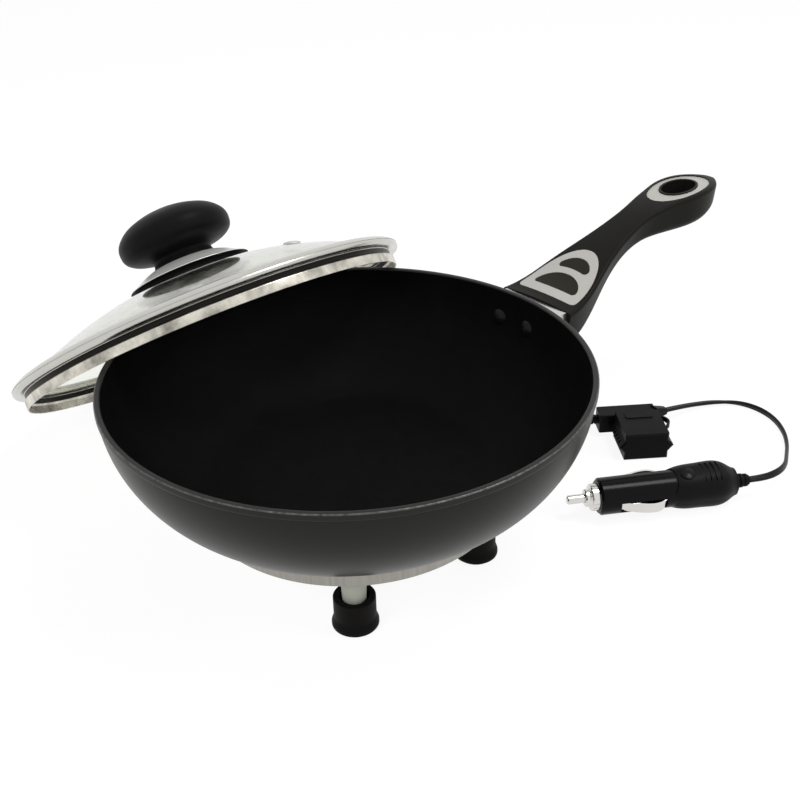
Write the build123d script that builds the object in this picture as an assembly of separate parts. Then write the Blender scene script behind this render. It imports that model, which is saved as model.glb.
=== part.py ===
from build123d import *
import math
import os

os.makedirs("parts", exist_ok=True)

# 12 V frying pan with a loose glass lid that leans on its rim.
# Millimetres. Origin on the table under the pan's axis, +X along the handle, +Z up.

# ---- pan bowl ----
RIM_HEIGHT = 110.0           # top of the rim above the table
RIM_RADIUS = 125.0           # outside of the rolled lip
LIP_OVERHANG = 0.6           # how far the lip stands out from the wall
LIP_HEIGHT = 3.4
BOWL_WALL = 2.6
BOWL_DEPTH = 66.0            # outside depth, rim to underside
BOWL_FLOOR = 4.0             # thickness of the bowl's bottom
CURVE_MARGIN = 2.0           # the wall's curve radius over the bowl's depth
FLANK_HEIGHT = 6.0           # straight flank between the curve and the underside
BOWL_CURVE = BOWL_DEPTH + CURVE_MARGIN
CURVE_DEPTH = BOWL_DEPTH - FLANK_HEIGHT
COOKING_DEPTH = BOWL_DEPTH - BOWL_FLOOR
COOKING_FILLET = 7.0
RIM_ROUND = 1.09             # rounding of both edges of the rim

# ---- heater base ----
BASE_RADIUS = 80.5
BASE_BAND_HEIGHT = 7.8
BASE_SHEET = 0.8
FLANGE_LAP = 5.15            # how far the band's flange reaches in under the bowl
BASE_LIP_HEIGHT = 3.6
SHEET_FIT = 0.05             # gap between nested sheet parts
MICA_INSET = 4.0             # edge of the mica inside the flange
MICA_SHEET = 0.8
RIBBON_THICKNESS = 0.6
RIBBON_WIDTH = 4.0
RIBBON_PITCH = 9.0
PAD_INSET = 13.0             # edge of the pad inside the mica's edge
PAD_THICKNESS = 2.4
CUTOUT_RADIUS = 8.0
CUTOUT_HEIGHT = 3.0
CUTOUT_PLACE = 34.0
CUTOUT_FIT = 0.4

# ---- feet ----
FOOT_INSET = 15.2            # circle of the feet inside the band
FOOT_AZIMUTH = 50.0          # the first foot's, from the handle's side
FOOT_RADIUS = 10.7
FOOT_FLARE = 1.2
FOOT_HEIGHT = 19.0
FOOT_FLOOR_TOP = 7.0
FOOT_HEAD_RECESS = 3.4
FOOT_BORE = 7.4
SPACER_TOP_RADIUS = 6.7
SPACER_BOTTOM_RADIUS = 5.7
SCREW_RADIUS = 2.5
SCREW_CLEARANCE = 0.2
SCREW_HEAD_RADIUS = 4.6
SCREW_HEAD_HEIGHT = 2.4
NUT_ACROSS = 8.0
NUT_HEIGHT = 3.6

# ---- handle ----
RIVET_DEPTH = 16.5           # rivet axis below the rim
RIVET_HALF_PITCH = 10.4
RIVET_RADIUS = 2.4
RIVET_HEAD_RADIUS = 5.0
RIVET_HEAD_HEIGHT = 1.8
BRACKET_SHEET = 1.2
BRACKET_SEAT = 0.2           # gap between the bracket's plate and the bowl
BRACKET_HALF_WIDTH = 23.0
BRACKET_TOP_DEPTH = 8.6      # top of the bracket below the rim
BRACKET_HEIGHT = 17.0
BRACKET_SIDE_WIDTH = 12.0
HANDLE_STANDOFF = 14.0       # the grip's front face from the rim
GRIP_FRONT = RIM_RADIUS + HANDLE_STANDOFF
TANG_LENGTH = 26.0           # bracket tang inside the grip
TANG_FIT = 0.1
TANG_HALF_WIDTH = 14.0
TANG_HEIGHT = 8.0
TANG_TOP_DEPTH = 10.6
TANG_STEP = 0.4              # relief at the inner end of the tang's room
GRIP_EDGE = 2.2              # rounding of the crease round the top face
GRIP_CROWN = 1.3
# distance behind the front face, top height over the rim, half width, depth, belly's share
GRIP_STATIONS = (
    (0.0, -8.6, 26.4, 23.5, 0.84),
    (15.0, -6.2, 24.2, 24.6, 0.86),
    (27.0, -1.4, 21.4, 21.6, 0.86),
    (39.0, 4.2, 18.0, 17.8, 0.84),
    (51.0, 9.2, 14.8, 14.8, 0.82),
    (63.0, 13.6, 12.4, 13.2, 0.82),
    (75.0, 17.6, 11.0, 13.6, 0.82),
    (87.0, 21.0, 11.0, 15.4, 0.82),
    (99.0, 23.5, 12.8, 17.8, 0.82),
    (111.0, 25.0, 15.0, 19.6, 0.84),
    (123.0, 25.9, 17.2, 20.4, 0.86),
    (135.0, 26.3, 17.0, 19.8, 0.86),
    (143.0, 26.2, 15.0, 17.8, 0.86),
    (150.0, 25.8, 11.4, 15.0, 0.86),
    (155.0, 25.3, 7.6, 12.0, 0.86),
    (158.0, 24.8, 4.6, 9.0, 0.86),
)
TRIM_DEPTH = 1.4
TRIM_PROUD = 0.15
TRIM_FIT = 0.1
END_TRIM_SINK = 0.7          # the end ring's face below the lips round it
FRONT_TRIM_START = GRIP_FRONT + 7.0
FRONT_TRIM_LENGTH = 38.5
FRONT_TRIM_HALF_WIDTH = 21.2
WINDOW_START = GRIP_FRONT + 14.0
WINDOW_LENGTH = 12.0
WINDOW_HALF_WIDTH = 15.6
CRESCENT_START = GRIP_FRONT + 30.2
CRESCENT_LENGTH = 8.4
CRESCENT_HALF_WIDTH = 12.0
CRESCENT_ROUND = 2.2
END_TRIM_CENTRE = GRIP_FRONT + 126.0
END_TRIM_LENGTH = 50.0
END_TRIM_WIDTH = 28.0
HANG_HOLE_LENGTH = 29.0
HANG_HOLE_WIDTH = 20.0
HANG_HOLE_STEP = 1.5
COLUMN_REACH = 40.0          # half height of the cutting columns about the rim
HANDLE_SCREW_X = GRIP_FRONT + 14.0
HANDLE_SCREW_REACH = 10.5
HANDLE_SCREW_RADIUS = 2.0

# ---- lid, leaning on the rim with its far edge on the table ----
LID_LEAN_AZIMUTH = 86.6      # the way the lid slopes down
LID_CENTRE_AZIMUTH = 85.0
LID_TILT = 36.3
LID_TABLE_GAP = 0.15
LID_RIM_GAP = 0.15           # the skirt's edge over the pan's rim
LID_ROLL_RADIUS = RIM_RADIUS - 3.35
LID_ROLL_HEIGHT = 5.6
LID_NECK_RADIUS = RIM_RADIUS - 9.5
LID_NECK_HEIGHT = 2.9        # recess between the roll and the skirt
LID_SKIRT_RADIUS = RIM_RADIUS - 8.2
LID_SKIRT_HEIGHT = 9.0
LID_SHEET = 0.7
GLASS_THICKNESS = 3.0
GLASS_APEX = 33.0            # top of the glass over the underside of the roll
GLASS_EDGE_RADIUS = RIM_RADIUS - 10.0
GLASS_EDGE_HEIGHT = 3.6
GLASS_SEAT = 0.15            # gap between the glass and what lies against it
KNOB_PLATE_RADIUS = 37.3
KNOB_PLATE_SEAT = 24.0       # radius at which the plate's underside meets the glass
KNOB_PLATE_HEIGHT = 7.8      # plate's top over the glass
KNOB_PLATE_EDGE = 0.9        # plate's outer edge over the glass's top
KNOB_PLATE_SHEET = 0.9
GASKET_RADIUS = 32.0
GASKET_HEIGHT = 2.3
KNOB_STEM_RADIUS = 19.5      # flat top of the plate under the knob, less its margin
# radius and height over its foot
KNOB_UNDER = ((19.5, 0.0), (18.5, 3.2), (20.5, 6.5), (31.5, 9.4))
KNOB_EDGE = (34.0, 12.2)
KNOB_OVER = ((34.8, 17.0), (30.5, 24.5), (16.4, 31.8), (0.0, 34.8))
KNOB_BORE_DEPTH = 19.0
KNOB_SCREW_RADIUS = 2.5
WASHER_RADIUS = 9.0
WASHER_THICKNESS = 1.5
VENT_RADIUS = 5.2
VENT_DISTANCE = 71.5
VENT_AZIMUTH = -147.3
VENT_HOLE = 1.6

# ---- in-line fuse holder, lying on the table ----
HOLDER_X = 198.8
HOLDER_Y = -24.8
HOLDER_AZIMUTH = -37.0
CAP_HEIGHT = 17.5
BAR_HEIGHT = 12.0
BAR_ROUND = 0.9
BAR_HALF_LENGTH = 18.0
BAR_HALF_DEPTH = 6.0
CAP_CENTRE = 4.2
CAP_HALF_WIDTH = 13.2
CAP_RIDGE = 3.3
CAP_LENGTH = 28.4
CAP_WALL = 1.5
CAP_FIT = 0.3
NOSE_LENGTH = 12.0
NOSE_HALF_WIDTH = 10.6
NOSE_HALF_HEIGHT = 5.2
FUSE_HALF_WIDTH = 9.5
FUSE_BODY_LENGTH = 11.5
FUSE_THICKNESS = 4.6
BLADE_WIDTH = 5.2
BLADE_THICKNESS = 0.65
BLADE_LENGTH = 7.0
BLADE_PLACE = 6.6
TERMINAL_HALF_HEIGHT = 1.6
BOOT_RADIUS = 3.0
BOOT_LENGTH = 11.0
TAPER_SECTIONS = ((0.0, 6.2, 5.0), (10.5, 7.2, 9.0))   # distance back, width, height
TAPER_ROUND = 2.2
PANEL_LENGTH = 17.0
PANEL_WIDTH = 7.0
TETHER_THICKNESS = 1.2
TETHER_REACH = 6.0
TETHER_START = -4.2          # where the strap leaves the bar's end, across the bar
TETHER_LOW = 9.1
TETHER_WIDTH = 3.0

# ---- vehicle power plug, lying on the table ----
PLUG_TIP_X = 100.9
PLUG_TIP_Y = -62.3
PLUG_AZIMUTH = -32.4
PLUG_AXIS_HEIGHT = 12.6
PLUG_ROLL = 18.0             # the plug's top leans away from the lid's side
NOSE_RADIUS = 10.5
NOSE_CHAMFER = 1.3
TIP_RADIUS = 2.6
TIP_REACH = 10.0             # tip standing out of the collar
TIP_FLANGE_RADIUS = 3.1
TIP_TRAVEL = 3.0             # the tip's stroke, left free between the fuse and the spring
NUT_COLLAR_RADIUS = 5.0
NUT_COLLAR_LENGTH = 3.2
NUT_RADIUS = 7.6
NUT_LENGTH = 4.0
SHELL_START = 17.4
NOSE_END = 60.0
# distance from the tip, half width, half height, extra height of the top
GRIP_SLEEVE = (
    (50.0, 11.0, 11.0, 0.0),
    (64.0, 11.4, 11.1, 0.3),
    (74.0, 12.0, 11.6, 0.7),
    (83.0, 12.2, 12.0, 1.0),
    (89.5, 11.2, 11.4, 0.6),
    (94.5, 8.6, 9.0, 0.0),
    (97.5, 7.4, 7.6, 0.0),
)
SLEEVE_ROUND = 0.9           # corner rounding of the sleeve, over its smaller half size
SLEEVE_EDGE = ((62.5, 16.0), (61.5, 10.0), (56.0, 0.0), (53.0, -16.0))
RIB_COUNT = 5
RIB_START = 76.0
RIB_PITCH = 3.0
RIB_WIDTH = 1.1
RIB_FLOOR = 12.55            # radius of the grooves' floor
RIB_HALF_REACH = 6.5
SHELL_END = 97.5
RELIEF_START = SHELL_END - 7.0
RELIEF_END = 106.0
RELIEF_NECK = 3.9
RELIEF_FLANGE = 5.4
RUN_FIT = 0.08               # radial running clearance of tip, fuse and nut
BODY_GAP = 0.3
PLUG_FUSE_RADIUS = 3.1
PLUG_BORE = PLUG_FUSE_RADIUS + RUN_FIT
SPIGOT_RADIUS = 5.6          # threaded spigot of the shells inside the ring nut
PLUG_FUSE_LENGTH = 30.0
SPRING_WIRE = 0.4
SPRING_TURNS = 5
SPRING_LENGTH = 10.0
CONTACT_START = 29.0
CONTACT_END = 55.0
CONTACT_HALF_HEIGHT = 3.6
CONTACT_PROUD = 1.7
CONTACT_TRAVEL = 1.5
CONTACT_SHEET = 0.9
CONTACT_DEPTH = 5.6          # floor of a side contact's slot, from the plug's axis
LENS_PLACE = 68.0
LENS_RADIUS = 4.0
LENS_TOP = 12.1              # edge of the lens above the plug's axis
LENS_RISE = 0.8
LENS_DEPTH = 2.9

# ---- cords ----
CORD_RADIUS = 2.0
# from the fuse holder's outlet to the plug
POWER_ROUTE = (
    (222.0, -36.0, 9.4),
    (236.0, -37.4, 6.8),
    (250.5, -39.8, 4.0),
    (264.8, -45.6, 2.4),
    (274.8, -56.0, 2.2),
    (277.4, -69.5, 2.2),
    (273.8, -83.4, 2.2),
    (264.4, -96.4, 2.2),
    (252.0, -106.4, 2.8),
    (238.5, -114.2, 5.4),
    (223.3, -122.8, 9.6),
    (210.2, -126.2, 12.2),
)
# from the gland in the base band to the fuse holder's inlet
LEAD_ROUTE = (
    (93.0, 0.0, 40.0),
    (103.5, 0.0, 40.0),
    (115.0, 1.6, 32.0),
    (124.5, 4.6, 20.4),
    (134.0, 8.0, 10.2),
    (146.0, 10.8, 3.8),
    (159.0, 10.2, 2.5),
    (170.8, 4.6, 4.0),
    (182.3, -9.6, 7.6),
)
CORD_LEAD_IN = 9.5           # straight run of the power cord into the strain relief
GLAND_REACH = LEAD_ROUTE[0][0] - BASE_RADIUS
GLAND_RADIUS = 3.6
GLAND_HOLE = 2.9
GLAND_DEPTH = 4.0            # how far the gland reaches in behind the band


# ---------------------------------------------------------------- helpers

def turned(lines):
    """A solid of revolution about Z from the closed lines of its half section in X and Z."""
    return revolve(Plane.XZ * make_face(lines), Axis.Z, 360)


def turned_polygon(points):
    """A solid of revolution about Z from the corners of its half section."""
    return turned(Polyline(*points, close=True))


def tube(outer, inner, low, high):
    """A round sleeve about Z between two heights."""
    ring = Circle(outer) - Circle(inner)
    return Pos(0, 0, low) * extrude(ring, high - low)


def rod(radius, low, high):
    """A round bar about Z between two heights."""
    return Pos(0, 0, low) * extrude(Circle(radius), high - low)


def block(size_x, size_y, low, high):
    """A box centred on X and Y between two heights."""
    return Pos(0, 0, low) * extrude(Rectangle(size_x, size_y), high - low)


def straight_prism(outline, low, high):
    """An outline in X and Y, raised between two heights."""
    return Pos(0, 0, low) * extrude(outline, high - low)


def cap_arc(radius, base, height):
    """The half-section arc of a spherical cap, from its edge to the axis."""
    curve = (radius ** 2 + height ** 2) / (2 * abs(height))
    sign = math.copysign(1, height)
    halfway = base + height - sign * (curve - math.sqrt(curve ** 2 - radius ** 2 / 4))
    return ThreePointArc((radius, base), (radius / 2, halfway), (0, base + height))


def polar(radius, azimuth):
    """The X and Y of a point at a radius and an azimuth in degrees."""
    angle = math.radians(azimuth)
    return radius * math.cos(angle), radius * math.sin(angle)


def lying_frame(x, y, z, azimuth):
    """A frame turned about Z, for what lies on the table."""
    return Plane(origin=(x, y, z), x_dir=(*polar(1, azimuth), 0), z_dir=(0, 0, 1))


def save(node, shape):
    """Write one node's solids to its STEP file."""
    solids = shape.solids()
    body = solids[0] if len(solids) == 1 else Compound(children=list(solids))
    export_step(body, f"parts/{node}.step")


# ---------------------------------------------------------------- pan bowl

CURVE_CENTRE = RIM_RADIUS - LIP_OVERHANG - BOWL_CURVE


def wall_radius(curve, depth):
    """Radius of a surface parallel to the bowl's curved wall, at a depth below the rim."""
    return CURVE_CENTRE + math.sqrt(curve ** 2 - depth ** 2)


def flank_radius(depth):
    """Radius of the straight flank that runs on from the curved wall."""
    slope = CURVE_DEPTH / math.sqrt(BOWL_CURVE ** 2 - CURVE_DEPTH ** 2)
    return wall_radius(BOWL_CURVE, CURVE_DEPTH) - slope * (depth - CURVE_DEPTH)


def wall_arc(curve, start_depth, end_depth):
    """The half-section arc of a surface parallel to the wall between two depths."""
    middle = (start_depth + end_depth) / 2
    points = [
        (wall_radius(curve, depth), RIM_HEIGHT - depth)
        for depth in (start_depth, middle, end_depth)
    ]
    return ThreePointArc(*points)


def rivet_frame(side):
    """A frame on the bowl's inside face at one rivet, Z pointing out through the wall."""
    inside = BOWL_CURVE - BOWL_WALL
    radius = wall_radius(inside, RIVET_DEPTH)
    azimuth = side * math.degrees(math.asin(RIVET_HALF_PITCH / radius))
    dip = math.asin(RIVET_DEPTH / inside)
    x, y = polar(radius, azimuth)
    out_x, out_y = polar(math.cos(dip), azimuth)
    return Plane(origin=(x, y, RIM_HEIGHT - RIVET_DEPTH), z_dir=(out_x, out_y, -math.sin(dip)))


def make_bowl():
    """Pressed bowl with a curved wall, a flat cooking surface and a small rolled lip."""
    inside = BOWL_CURVE - BOWL_WALL
    under_lip = LIP_HEIGHT + LIP_OVERHANG
    floor = RIM_HEIGHT - COOKING_DEPTH
    underside = RIM_HEIGHT - BOWL_DEPTH
    outer = wall_arc(BOWL_CURVE, under_lip, CURVE_DEPTH)
    inner = wall_arc(inside, COOKING_DEPTH, 0)
    foot = Polyline(
        outer @ 1,
        (flank_radius(BOWL_DEPTH), underside),
        (0, underside),
        (0, floor),
        inner @ 0,
    )
    lip = Polyline(
        inner @ 1,
        (RIM_RADIUS, RIM_HEIGHT),
        (RIM_RADIUS, RIM_HEIGHT - LIP_HEIGHT),
        outer @ 0,
    )
    section = make_face(outer + foot + inner + lip)
    corner = section.vertices().sort_by_distance(inner @ 0)[0]
    section = fillet(corner, COOKING_FILLET)
    bowl = revolve(Plane.XZ * section, Axis.Z, 360)
    rim_edges = bowl.edges().filter_by_position(Axis.Z, RIM_HEIGHT - 0.01, RIM_HEIGHT + 0.01)
    bowl = fillet(rim_edges, RIM_ROUND)
    for side in (-1, 1):
        bowl -= rivet_frame(side) * rod(RIVET_RADIUS + SHEET_FIT, -BOWL_WALL, 2 * BOWL_WALL)
        bowl -= rivet_frame(side) * rod(RIVET_HEAD_RADIUS + SHEET_FIT, -BOWL_WALL, 0)
    return bowl


def make_bracket():
    """Formed steel bracket: a back plate that follows the wall, a collar and a tang."""
    top = RIM_HEIGHT - BRACKET_TOP_DEPTH
    bottom = top - BRACKET_HEIGHT
    wide = 2 * BRACKET_HALF_WIDTH
    plate_curve = BOWL_CURVE + BRACKET_SEAT + BRACKET_SHEET
    near = wall_arc(
        BOWL_CURVE + BRACKET_SEAT, BRACKET_TOP_DEPTH, BRACKET_TOP_DEPTH + BRACKET_HEIGHT
    )
    far = wall_arc(plate_curve, BRACKET_TOP_DEPTH + BRACKET_HEIGHT, BRACKET_TOP_DEPTH)
    band = make_face(near + Line(near @ 1, far @ 0) + far + Line(far @ 1, near @ 0))
    plate = revolve(Plane.XZ * band, Axis.Z, 360)
    plate &= Pos(RIM_RADIUS, 0, 0) * block(RIM_RADIUS, wide, 0, RIM_HEIGHT)
    envelope = turned(
        wall_arc(plate_curve, 0, CURVE_DEPTH)
        + Polyline(
            (wall_radius(plate_curve, CURVE_DEPTH), RIM_HEIGHT - CURVE_DEPTH),
            (0, RIM_HEIGHT - CURVE_DEPTH),
            (0, RIM_HEIGHT),
            (wall_radius(plate_curve, 0), RIM_HEIGHT),
        )
    )
    collar_start = RIM_RADIUS - BRACKET_SIDE_WIDTH
    collar_length = GRIP_FRONT - collar_start
    middle = collar_start + collar_length / 2
    outer = Pos(middle, 0, 0) * block(collar_length, wide, bottom, top)
    hollow = Pos(middle - BRACKET_SHEET, 0, 0) * block(
        collar_length, wide - 2 * BRACKET_SHEET, bottom + BRACKET_SHEET, top - BRACKET_SHEET
    )
    collar = outer - hollow - envelope
    collar = collar + plate
    collar += Pos(GRIP_FRONT + TANG_LENGTH / 2, 0, 0) * (
        tang_block(0) - tang_block(-BRACKET_SHEET)
    )
    for side in (-1, 1):
        collar -= rivet_frame(side) * rod(RIVET_RADIUS + SHEET_FIT, 0, 3 * BOWL_WALL)
    collar -= handle_screw_frame() * rod(HANDLE_SCREW_RADIUS + SHEET_FIT, 0, 2 * TANG_HEIGHT)
    return collar


def tang_block(grow):
    """The tang's outside as a block centred on its length, grown all round by a clearance."""
    top = RIM_HEIGHT - TANG_TOP_DEPTH
    return block(
        TANG_LENGTH, 2 * (TANG_HALF_WIDTH + grow), top - TANG_HEIGHT - grow, top + grow
    )


def make_rivets():
    """Two domed rivets that hold the bracket to the bowl."""
    grip = BOWL_WALL + BRACKET_SEAT + BRACKET_SHEET
    dome = cap_arc(RIVET_HEAD_RADIUS, 0, -RIVET_HEAD_HEIGHT)
    rest = Polyline(
        dome @ 1,
        (0, grip + RIVET_HEAD_HEIGHT),
        (RIVET_HEAD_RADIUS * 0.6, grip + RIVET_HEAD_HEIGHT),
        (RIVET_HEAD_RADIUS * 0.8, grip + SHEET_FIT),
        (RIVET_RADIUS, grip + SHEET_FIT),
        (RIVET_RADIUS, 0),
        dome @ 0,
    )
    rivet = turned(dome + rest)
    return Compound(children=[rivet_frame(side) * rivet for side in (-1, 1)])


# ---------------------------------------------------------------- handle

def grip_section(station):
    """One cross section of the grip: crowned top, sloping sides and a rounded belly."""
    behind, top, half, depth, share = station
    belly = share * half
    frame = Plane(
        origin=(GRIP_FRONT + behind, 0, RIM_HEIGHT + top), x_dir=(0, 1, 0), z_dir=(1, 0, 0)
    )
    crown = ThreePointArc((-half, 0), (0, GRIP_CROWN * half / GRIP_STATIONS[0][2]), (half, 0))
    under = ThreePointArc((belly, -depth), (0, -1.06 * depth), (-belly, -depth))
    lines = crown + Line(crown @ 1, under @ 0) + under + Line(under @ 1, crown @ 0)
    section = make_face(lines)
    upper = section.vertices().filter_by_position(Axis.Y, -0.01, 0.01)
    section = fillet(upper, GRIP_EDGE)
    lower = section.vertices().filter_by_position(Axis.Y, -depth - 0.01, -depth + 0.01)
    section = fillet(lower, 0.42 * min(depth, half))
    return frame * section


def grip_form():
    """The grip's outside form, lofted through its stations."""
    return loft([grip_section(station) for station in GRIP_STATIONS])


def half_ellipse(start, length, half_width):
    """A D outline: a straight edge across the handle and a half ellipse beyond it."""
    whole = Pos(start, 0) * Ellipse(length, half_width)
    ahead = Pos(start + length, 0) * Rectangle(2 * length, 2 * half_width + 2)
    outline = whole & ahead
    corners = outline.vertices()
    return fillet(corners, half_width * 0.14)


def crescent_outline():
    """The crescent window: an outer arc, a nearly straight inner arc and round ends."""
    near = CRESCENT_START - 0.12 * CRESCENT_HALF_WIDTH
    outer = ThreePointArc(
        (near, CRESCENT_HALF_WIDTH),
        (CRESCENT_START + CRESCENT_LENGTH, 0),
        (near, -CRESCENT_HALF_WIDTH),
    )
    inner = ThreePointArc(outer @ 1, (CRESCENT_START, 0), outer @ 0)
    outline = make_face(outer + inner)
    return fillet(outline.vertices(), CRESCENT_ROUND)


def window_outlines(grow):
    """Both window outlines, grown by a clearance."""
    windows = half_ellipse(
        WINDOW_START - grow, WINDOW_LENGTH + 2 * grow, WINDOW_HALF_WIDTH + grow
    )
    crescent = crescent_outline()
    if grow:
        crescent = offset(crescent, grow)
    return windows + crescent


def hang_hole(grow):
    """The hang hole's outline, grown by a step or a clearance."""
    return Pos(END_TRIM_CENTRE, 0) * Ellipse(
        HANG_HOLE_LENGTH / 2 + grow, HANG_HOLE_WIDTH / 2 + grow
    )


def end_trim_outline(grow):
    """The end ring's outside outline, grown by a clearance."""
    return Pos(END_TRIM_CENTRE, 0) * Ellipse(
        END_TRIM_LENGTH / 2 + grow, END_TRIM_WIDTH / 2 + grow
    )


def column(outline):
    """An outline raised through the handle's whole height."""
    return straight_prism(outline, RIM_HEIGHT - COLUMN_REACH, RIM_HEIGHT + COLUMN_REACH)


def handle_screw_frame():
    """The handle screw's axis, with its origin on the screw's head under the grip."""
    station = GRIP_STATIONS[1]
    head = RIM_HEIGHT + station[1] - station[3] + SCREW_HEAD_HEIGHT
    return Plane(origin=(HANDLE_SCREW_X, 0, head), z_dir=(0, 0, 1))


def make_handle():
    """Grip, front trim, its two windows and the end ring, as separate solids."""
    form = grip_form()
    floor = Pos(0, 0, -TRIM_DEPTH) * form
    seat = Pos(0, 0, TRIM_FIT - TRIM_DEPTH) * form
    proud = Pos(0, 0, TRIM_PROUD) * form
    sunk = Pos(0, 0, -END_TRIM_SINK) * form
    front = half_ellipse(FRONT_TRIM_START, FRONT_TRIM_LENGTH, FRONT_TRIM_HALF_WIDTH)
    front_seat = half_ellipse(
        FRONT_TRIM_START - TRIM_FIT,
        FRONT_TRIM_LENGTH + 2 * TRIM_FIT,
        FRONT_TRIM_HALF_WIDTH + TRIM_FIT,
    )
    front_trim = ((column(front) & proud) - seat) - column(window_outlines(TRIM_FIT))
    windows = (column(window_outlines(0)) & form) - seat
    end_trim = ((column(end_trim_outline(0) - hang_hole(0))) & sunk) - seat
    end_seat = column(end_trim_outline(TRIM_FIT) - hang_hole(-TRIM_FIT))
    grip = form - (column(front_seat) - floor) - (end_seat - floor)
    grip -= column(hang_hole(-HANG_HOLE_STEP))
    grip -= Pos(GRIP_FRONT + TANG_LENGTH / 2, 0, 0) * tang_block(TANG_FIT)
    grip -= Pos(GRIP_FRONT + TANG_LENGTH + TANG_FIT, 0, 0) * block(
        TANG_STEP, 2 * TANG_HALF_WIDTH,
        RIM_HEIGHT - TANG_TOP_DEPTH - TANG_HEIGHT, RIM_HEIGHT - TANG_TOP_DEPTH,
    )
    frame = handle_screw_frame()
    grip -= frame * rod(SCREW_HEAD_RADIUS + SCREW_CLEARANCE, -10, 0)
    grip -= frame * rod(HANDLE_SCREW_RADIUS + SCREW_CLEARANCE, 0, HANDLE_SCREW_REACH + 1)
    return grip, front_trim, windows, end_trim


def make_handle_screw():
    """The screw that holds the grip on the tang, with a cross recess."""
    shank = rod(HANDLE_SCREW_RADIUS, 0, HANDLE_SCREW_REACH)
    head = rod(SCREW_HEAD_RADIUS, -SCREW_HEAD_HEIGHT, 0)
    head = fillet(head.faces().sort_by(Axis.Z)[0].edges(), 0.8)
    cross = block(4.4, 1.0, -SCREW_HEAD_HEIGHT, -1.2) + block(1.0, 4.4, -SCREW_HEAD_HEIGHT, -1.2)
    return handle_screw_frame() * (shank + head - cross)


# ---------------------------------------------------------------- heater base

UNDERSIDE = RIM_HEIGHT - BOWL_DEPTH
BASE_BOTTOM = UNDERSIDE - BASE_BAND_HEIGHT
PLATE_TOP = BASE_BOTTOM + BASE_SHEET
FLANGE_RADIUS = min(BASE_RADIUS, flank_radius(BOWL_DEPTH)) - FLANGE_LAP
MICA_RADIUS = FLANGE_RADIUS - MICA_INSET
PAD_RADIUS = MICA_RADIUS - PAD_INSET
FOOT_PLACES = [
    polar(BASE_RADIUS - FOOT_INSET, azimuth)
    for azimuth in (FOOT_AZIMUTH, -FOOT_AZIMUTH, 180 - FOOT_AZIMUTH, FOOT_AZIMUTH - 180)
]


def gland_frame():
    """The lead gland's axis, pointing out of the base band under the handle."""
    _, y, z = LEAD_ROUTE[0]
    return Plane(origin=(BASE_RADIUS, y, z), x_dir=(0, 1, 0), z_dir=(1, 0, 0))


def make_base_band():
    """Bright band round the heater, with a flange that lies against the bowl."""
    inner = BASE_RADIUS - BASE_SHEET
    band = turned_polygon([
        (FLANGE_RADIUS, UNDERSIDE),
        (BASE_RADIUS - BASE_SHEET * 0.6, UNDERSIDE),
        (BASE_RADIUS, UNDERSIDE - BASE_SHEET * 0.6),
        (BASE_RADIUS, BASE_BOTTOM),
        (inner, BASE_BOTTOM),
        (inner, UNDERSIDE - BASE_SHEET),
        (FLANGE_RADIUS, UNDERSIDE - BASE_SHEET),
    ])
    return band - gland_frame() * rod(GLAND_HOLE, -GLAND_DEPTH, GLAND_DEPTH)


def make_bottom_plate():
    """Pressed plate that closes the base, with an upturned lip and four screw holes."""
    outer = BASE_RADIUS - BASE_SHEET - SHEET_FIT
    inner = outer - BASE_SHEET
    plate = turned_polygon([
        (0, BASE_BOTTOM),
        (outer - BASE_SHEET, BASE_BOTTOM),
        (outer, BASE_BOTTOM + BASE_SHEET),
        (outer, BASE_BOTTOM + BASE_LIP_HEIGHT),
        (inner, BASE_BOTTOM + BASE_LIP_HEIGHT),
        (inner, PLATE_TOP),
        (0, PLATE_TOP),
    ])
    for x, y in FOOT_PLACES:
        plate -= Pos(x, y, 0) * rod(SCREW_RADIUS + SCREW_CLEARANCE, BASE_BOTTOM - 1, PLATE_TOP + 1)
    return plate - gland_frame() * rod(GLAND_HOLE + SCREW_CLEARANCE, -GLAND_DEPTH, GLAND_DEPTH)


def make_mica(level):
    """A round mica sheet with its top at a level."""
    return rod(MICA_RADIUS, level - MICA_SHEET, level)


def make_ribbon():
    """Flat resistance ribbon: open rings, each joined to the next by a short bridge."""
    level = UNDERSIDE - MICA_SHEET
    count = int((MICA_RADIUS - RIBBON_PITCH / 2) / RIBBON_PITCH) - 1
    radii = [MICA_RADIUS - RIBBON_PITCH * (index + 0.7) for index in range(count)]
    ribbon = None
    for index, radius in enumerate(radii):
        ring = Circle(radius) - Circle(radius - RIBBON_WIDTH)
        gap = Pos(radius, 0) * Rectangle(4 * RIBBON_WIDTH, RIBBON_WIDTH)
        ring -= gap
        ribbon = ring if ribbon is None else ribbon + ring
        if index + 1 < count:
            side = 1 if index % 2 else -1
            bridge = Pos(radius - RIBBON_PITCH / 2 - RIBBON_WIDTH / 2, side * RIBBON_WIDTH)
            ribbon += bridge * Rectangle(RIBBON_PITCH, RIBBON_WIDTH)
    return Pos(0, 0, level - RIBBON_THICKNESS) * extrude(ribbon, RIBBON_THICKNESS)


def make_pad():
    """Ceramic fibre pad under the heater, with a seat cut for the thermal cut-out."""
    top = UNDERSIDE - 2 * MICA_SHEET - RIBBON_THICKNESS
    pad = rod(PAD_RADIUS, top - PAD_THICKNESS, top)
    return pad - Pos(CUTOUT_PLACE, 0, 0) * rod(
        CUTOUT_RADIUS + CUTOUT_FIT, top - PAD_THICKNESS - 1, top + 1
    )


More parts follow.
